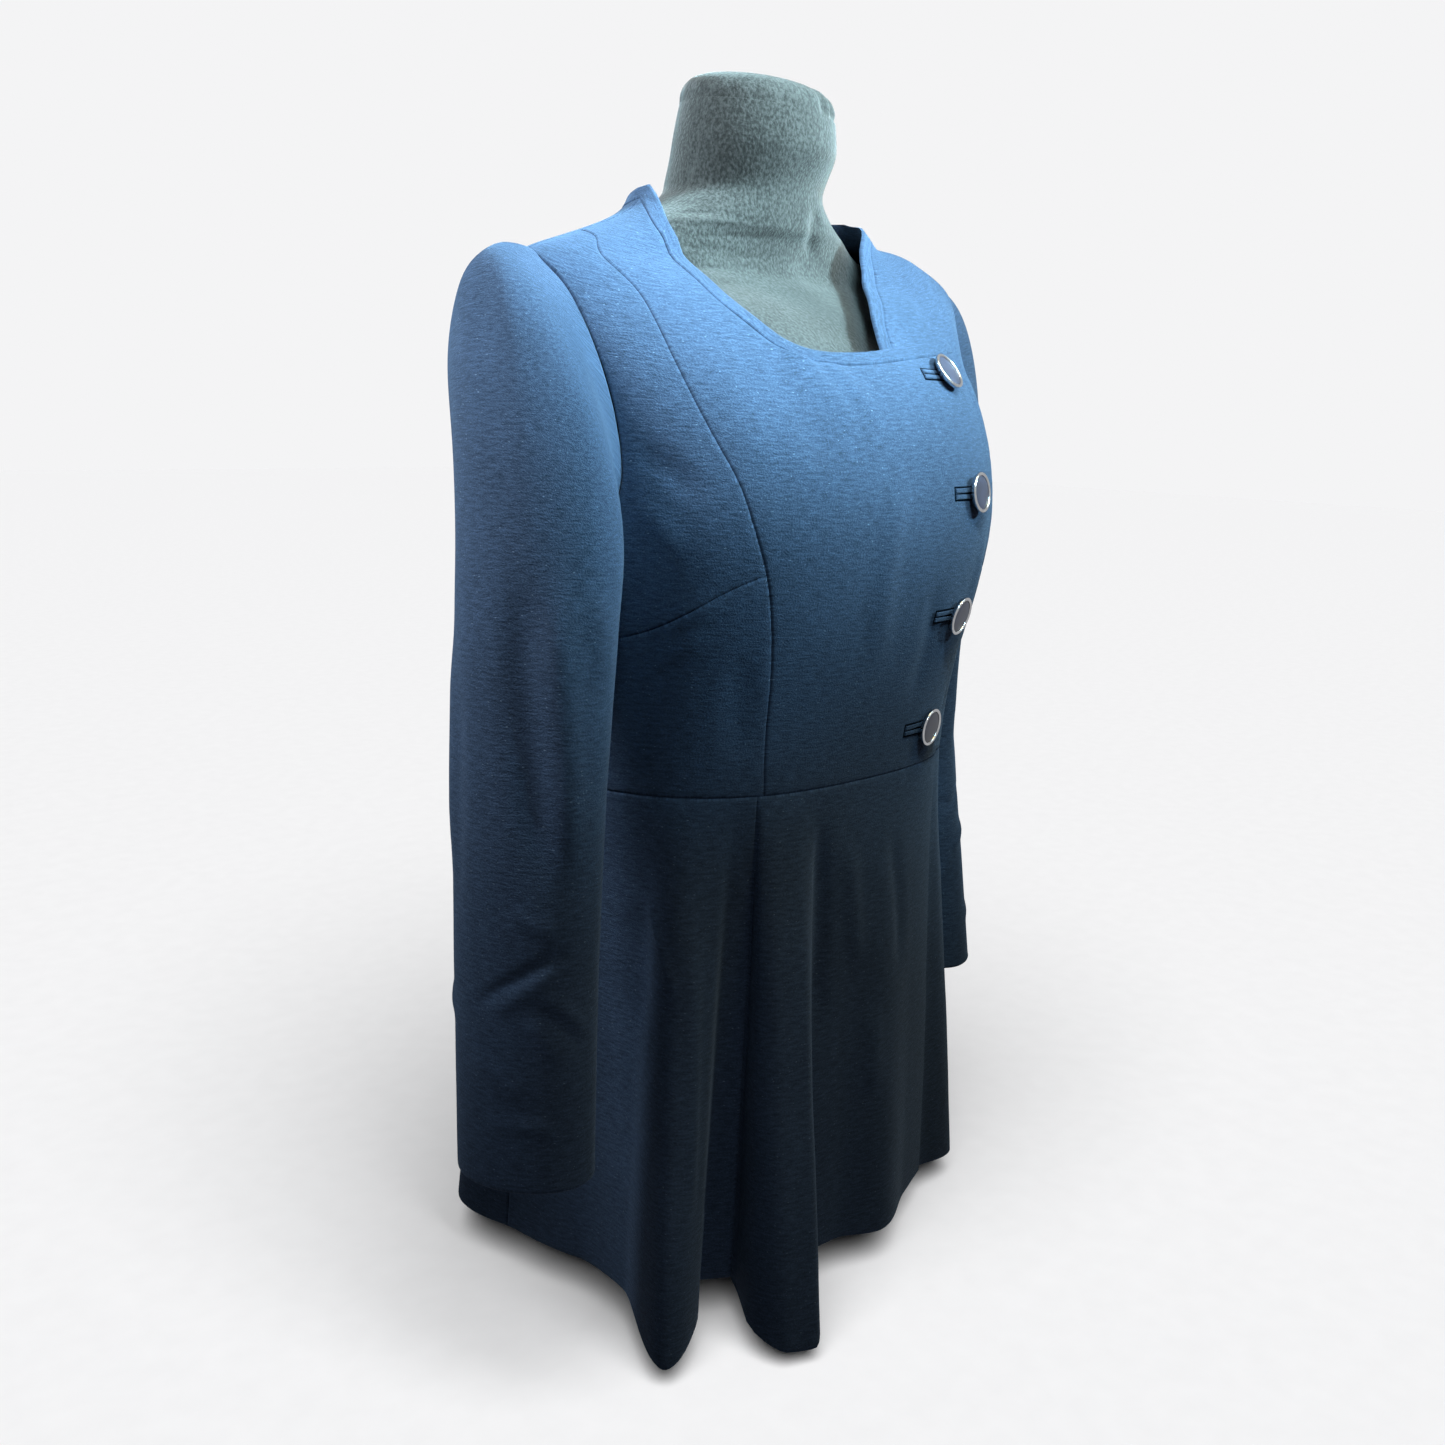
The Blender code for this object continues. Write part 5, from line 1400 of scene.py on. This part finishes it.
# What every colour setting has
COLOUR = {"size": 3, "subtype": "COLOR", "min": 0, "max": 1}


class CoatCloth(bpy.types.PropertyGroup):
    """The coat's cloth."""
    colour: FloatVectorProperty(name="Cloth colour", description="Colour of the crepe",
                                default=linear("#344258")[:3], **COLOUR)
    rib: FloatProperty(name="Rib spacing", description="Millimetres from one rib of the weave to the next",
                       default=2.2, min=0.8, max=6)
    sheen: FloatProperty(name="Sheen", description="How much bloom the fibres give at grazing angles",
                         subtype="FACTOR", default=0.3, min=0, max=1)
    lie: FloatProperty(name="Lie", description="How far the cloth wavers as it hangs",
                       subtype="DISTANCE", unit="LENGTH", default=0.0006, min=0, max=0.003)
    # The share of the cloth's colour kept in the buttonholes' strip of painted shade
    ditch: FloatProperty(name="Ditch", description="Share of the cloth's colour left in the buttonholes",
                         subtype="FACTOR", default=0.12, min=0, max=1)
    creases: FloatProperty(name="Creases", description="Strength of the creases, 1 as they hang",
                           subtype="FACTOR", default=1.0, min=0, max=1.5)


class CoatForm(bpy.types.PropertyGroup):
    """The dress form under the coat."""
    jersey: FloatVectorProperty(name="Jersey colour", description="Colour of the form's cover",
                                default=linear("#2F3030")[:3], **COLOUR)
    stitch: FloatProperty(name="Stitch", description="Millimetres across a stitch of the cover",
                          default=2.0, min=0.4, max=4)
    paint: FloatVectorProperty(name="Stand colour", description="Paint of the post and the base",
                               default=linear("#2C2D2F")[:3], **COLOUR)


class CoatTrim(bpy.types.PropertyGroup):
    """The coat's buttons."""
    plate: FloatVectorProperty(name="Plate colour", description="Colour of the button cups",
                               default=linear("#D2D3D6")[:3], **COLOUR)
    enamel: FloatVectorProperty(name="Enamel colour", description="Colour of the button faces",
                                default=linear("#2B3044")[:3], **COLOUR)


class CoatStudio(bpy.types.PropertyGroup):
    """The light and the floor."""
    light: FloatProperty(name="Light", description="Strength of the soft lights on the coat",
                         subtype="FACTOR", default=1.0, min=0, max=20)
    floor_light: FloatProperty(name="Floor light", description="Strength of the light on the floor",
                               default=3.71, min=0, max=20)
    ambient: FloatProperty(name="Ambient", description="Brightness of the room around the form",
                           default=0.03, min=0, max=2)
    floor: FloatVectorProperty(name="Floor colour", description="Colour of the paper floor",
                               default=linear("#EDEDEE")[:3], **COLOUR)


def cloth_finish(scene):
    """The coat's crepe, made once."""
    made = bpy.data.materials.get("wool_crepe_woven_ribbed")
    settings = scene.coat_cloth
    return made or woven_crepe(colour_of(settings.colour), settings.rib, settings.sheen)


class COAT_OT_bodice(bpy.types.Operator):
    """Make the bodice's eight pieces"""
    bl_idname = "coat.make_bodice"
    bl_label = "Bodice"

    def execute(self, context):
        settings = context.scene.coat_cloth
        make_bodice(cloth_finish(context.scene), settings.lie, settings.creases)
        return {"FINISHED"}


class COAT_OT_band(bpy.types.Operator):
    """Make the narrow band round the neck"""
    bl_idname = "coat.make_band"
    bl_label = "Neck band"

    def execute(self, context):
        make_band(cloth_finish(context.scene), context.scene.coat_cloth.lie)
        return {"FINISHED"}


class COAT_OT_skirt(bpy.types.Operator):
    """Make the skirt's six pieces"""
    bl_idname = "coat.make_skirt"
    bl_label = "Skirt"

    def execute(self, context):
        settings = context.scene.coat_cloth
        make_skirt(cloth_finish(context.scene), settings.lie, settings.creases)
        return {"FINISHED"}


class COAT_OT_sleeves(bpy.types.Operator):
    """Make the two sleeves, each from an upper and an under piece"""
    bl_idname = "coat.make_sleeves"
    bl_label = "Sleeves"

    def execute(self, context):
        settings = context.scene.coat_cloth
        make_sleeves(cloth_finish(context.scene), settings.lie, settings.creases)
        return {"FINISHED"}


class COAT_OT_buttonholes(bpy.types.Operator):
    """Make the welts of the four bound buttonholes"""
    bl_idname = "coat.make_buttonholes"
    bl_label = "Buttonholes"

    def execute(self, context):
        settings = context.scene.coat_cloth
        # The buttonholes' strip is the cloth's colour darkened as painted shade
        painted_shade = painted_shade_crepe(shade(colour_of(settings.colour), settings.ditch))
        make_welts(cloth_finish(context.scene), painted_shade)
        return {"FINISHED"}


class COAT_OT_buttons(bpy.types.Operator):
    """Make the four shank buttons"""
    bl_idname = "coat.make_buttons"
    bl_label = "Buttons"

    def execute(self, context):
        settings = context.scene.coat_trim
        make_buttons(plated_brass(colour_of(settings.plate)), fired_enamel(colour_of(settings.enamel)))
        return {"FINISHED"}


class COAT_OT_form(bpy.types.Operator):
    """Make the dress form's covered body and neck cap, and finish its stand"""
    bl_idname = "coat.make_form"
    bl_label = "Dress form"

    def execute(self, context):
        settings = context.scene.coat_form
        make_form(knitted_jersey(colour_of(settings.jersey), settings.stitch))
        finish = painted_steel(colour_of(settings.paint))
        for node in ("form_post", "form_base"):
            stand = bpy.data.objects.get(node)
            if stand is None:
                raise RuntimeError(f"{node} isn't in the frame")
            for slot in stand.material_slots:
                slot.material = finish
        return {"FINISHED"}


class COAT_OT_studio(bpy.types.Operator):
    """Set up the floor, the lights and the camera"""
    bl_idname = "coat.make_studio"
    bl_label = "Studio"

    def execute(self, context):
        make_studio(context.scene, context.scene.coat_studio)
        return {"FINISHED"}


OPERATORS = (COAT_OT_studio, COAT_OT_form, COAT_OT_buttonholes, COAT_OT_bodice, COAT_OT_band, COAT_OT_skirt,
             COAT_OT_sleeves, COAT_OT_buttons)
GROUPS = {"coat_cloth": CoatCloth, "coat_form": CoatForm, "coat_trim": CoatTrim, "coat_studio": CoatStudio}


class COAT_PT_panel(bpy.types.Panel):
    """The coat's pieces and settings"""
    bl_idname = "COAT_PT_panel"
    bl_label = "Asymmetric coat"
    bl_space_type = "VIEW_3D"
    bl_region_type = "UI"
    bl_category = "Coat"

    def draw(self, context):
        for key, group in GROUPS.items():
            box = self.layout.box()
            for setting in group.__annotations__:
                box.prop(getattr(context.scene, key), setting)
        for operator in OPERATORS:
            self.layout.operator(operator.bl_idname)


def register():
    """Register the classes, and give a scene its settings."""
    for kind in (*GROUPS.values(), *OPERATORS, COAT_PT_panel):
        bpy.utils.register_class(kind)
    for key, group in GROUPS.items():
        setattr(bpy.types.Scene, key, PointerProperty(type=group))


def unregister():
    """Take them away again."""
    for key in GROUPS:
        delattr(bpy.types.Scene, key)
    for kind in reversed((*GROUPS.values(), *OPERATORS, COAT_PT_panel)):
        bpy.utils.unregister_class(kind)


def main():
    """Build everything in its order."""
    register()
    for operator in OPERATORS:
        group, call = operator.bl_idname.split(".")
        getattr(getattr(bpy.ops, group), call)()


if __name__ == "__main__":
    main()
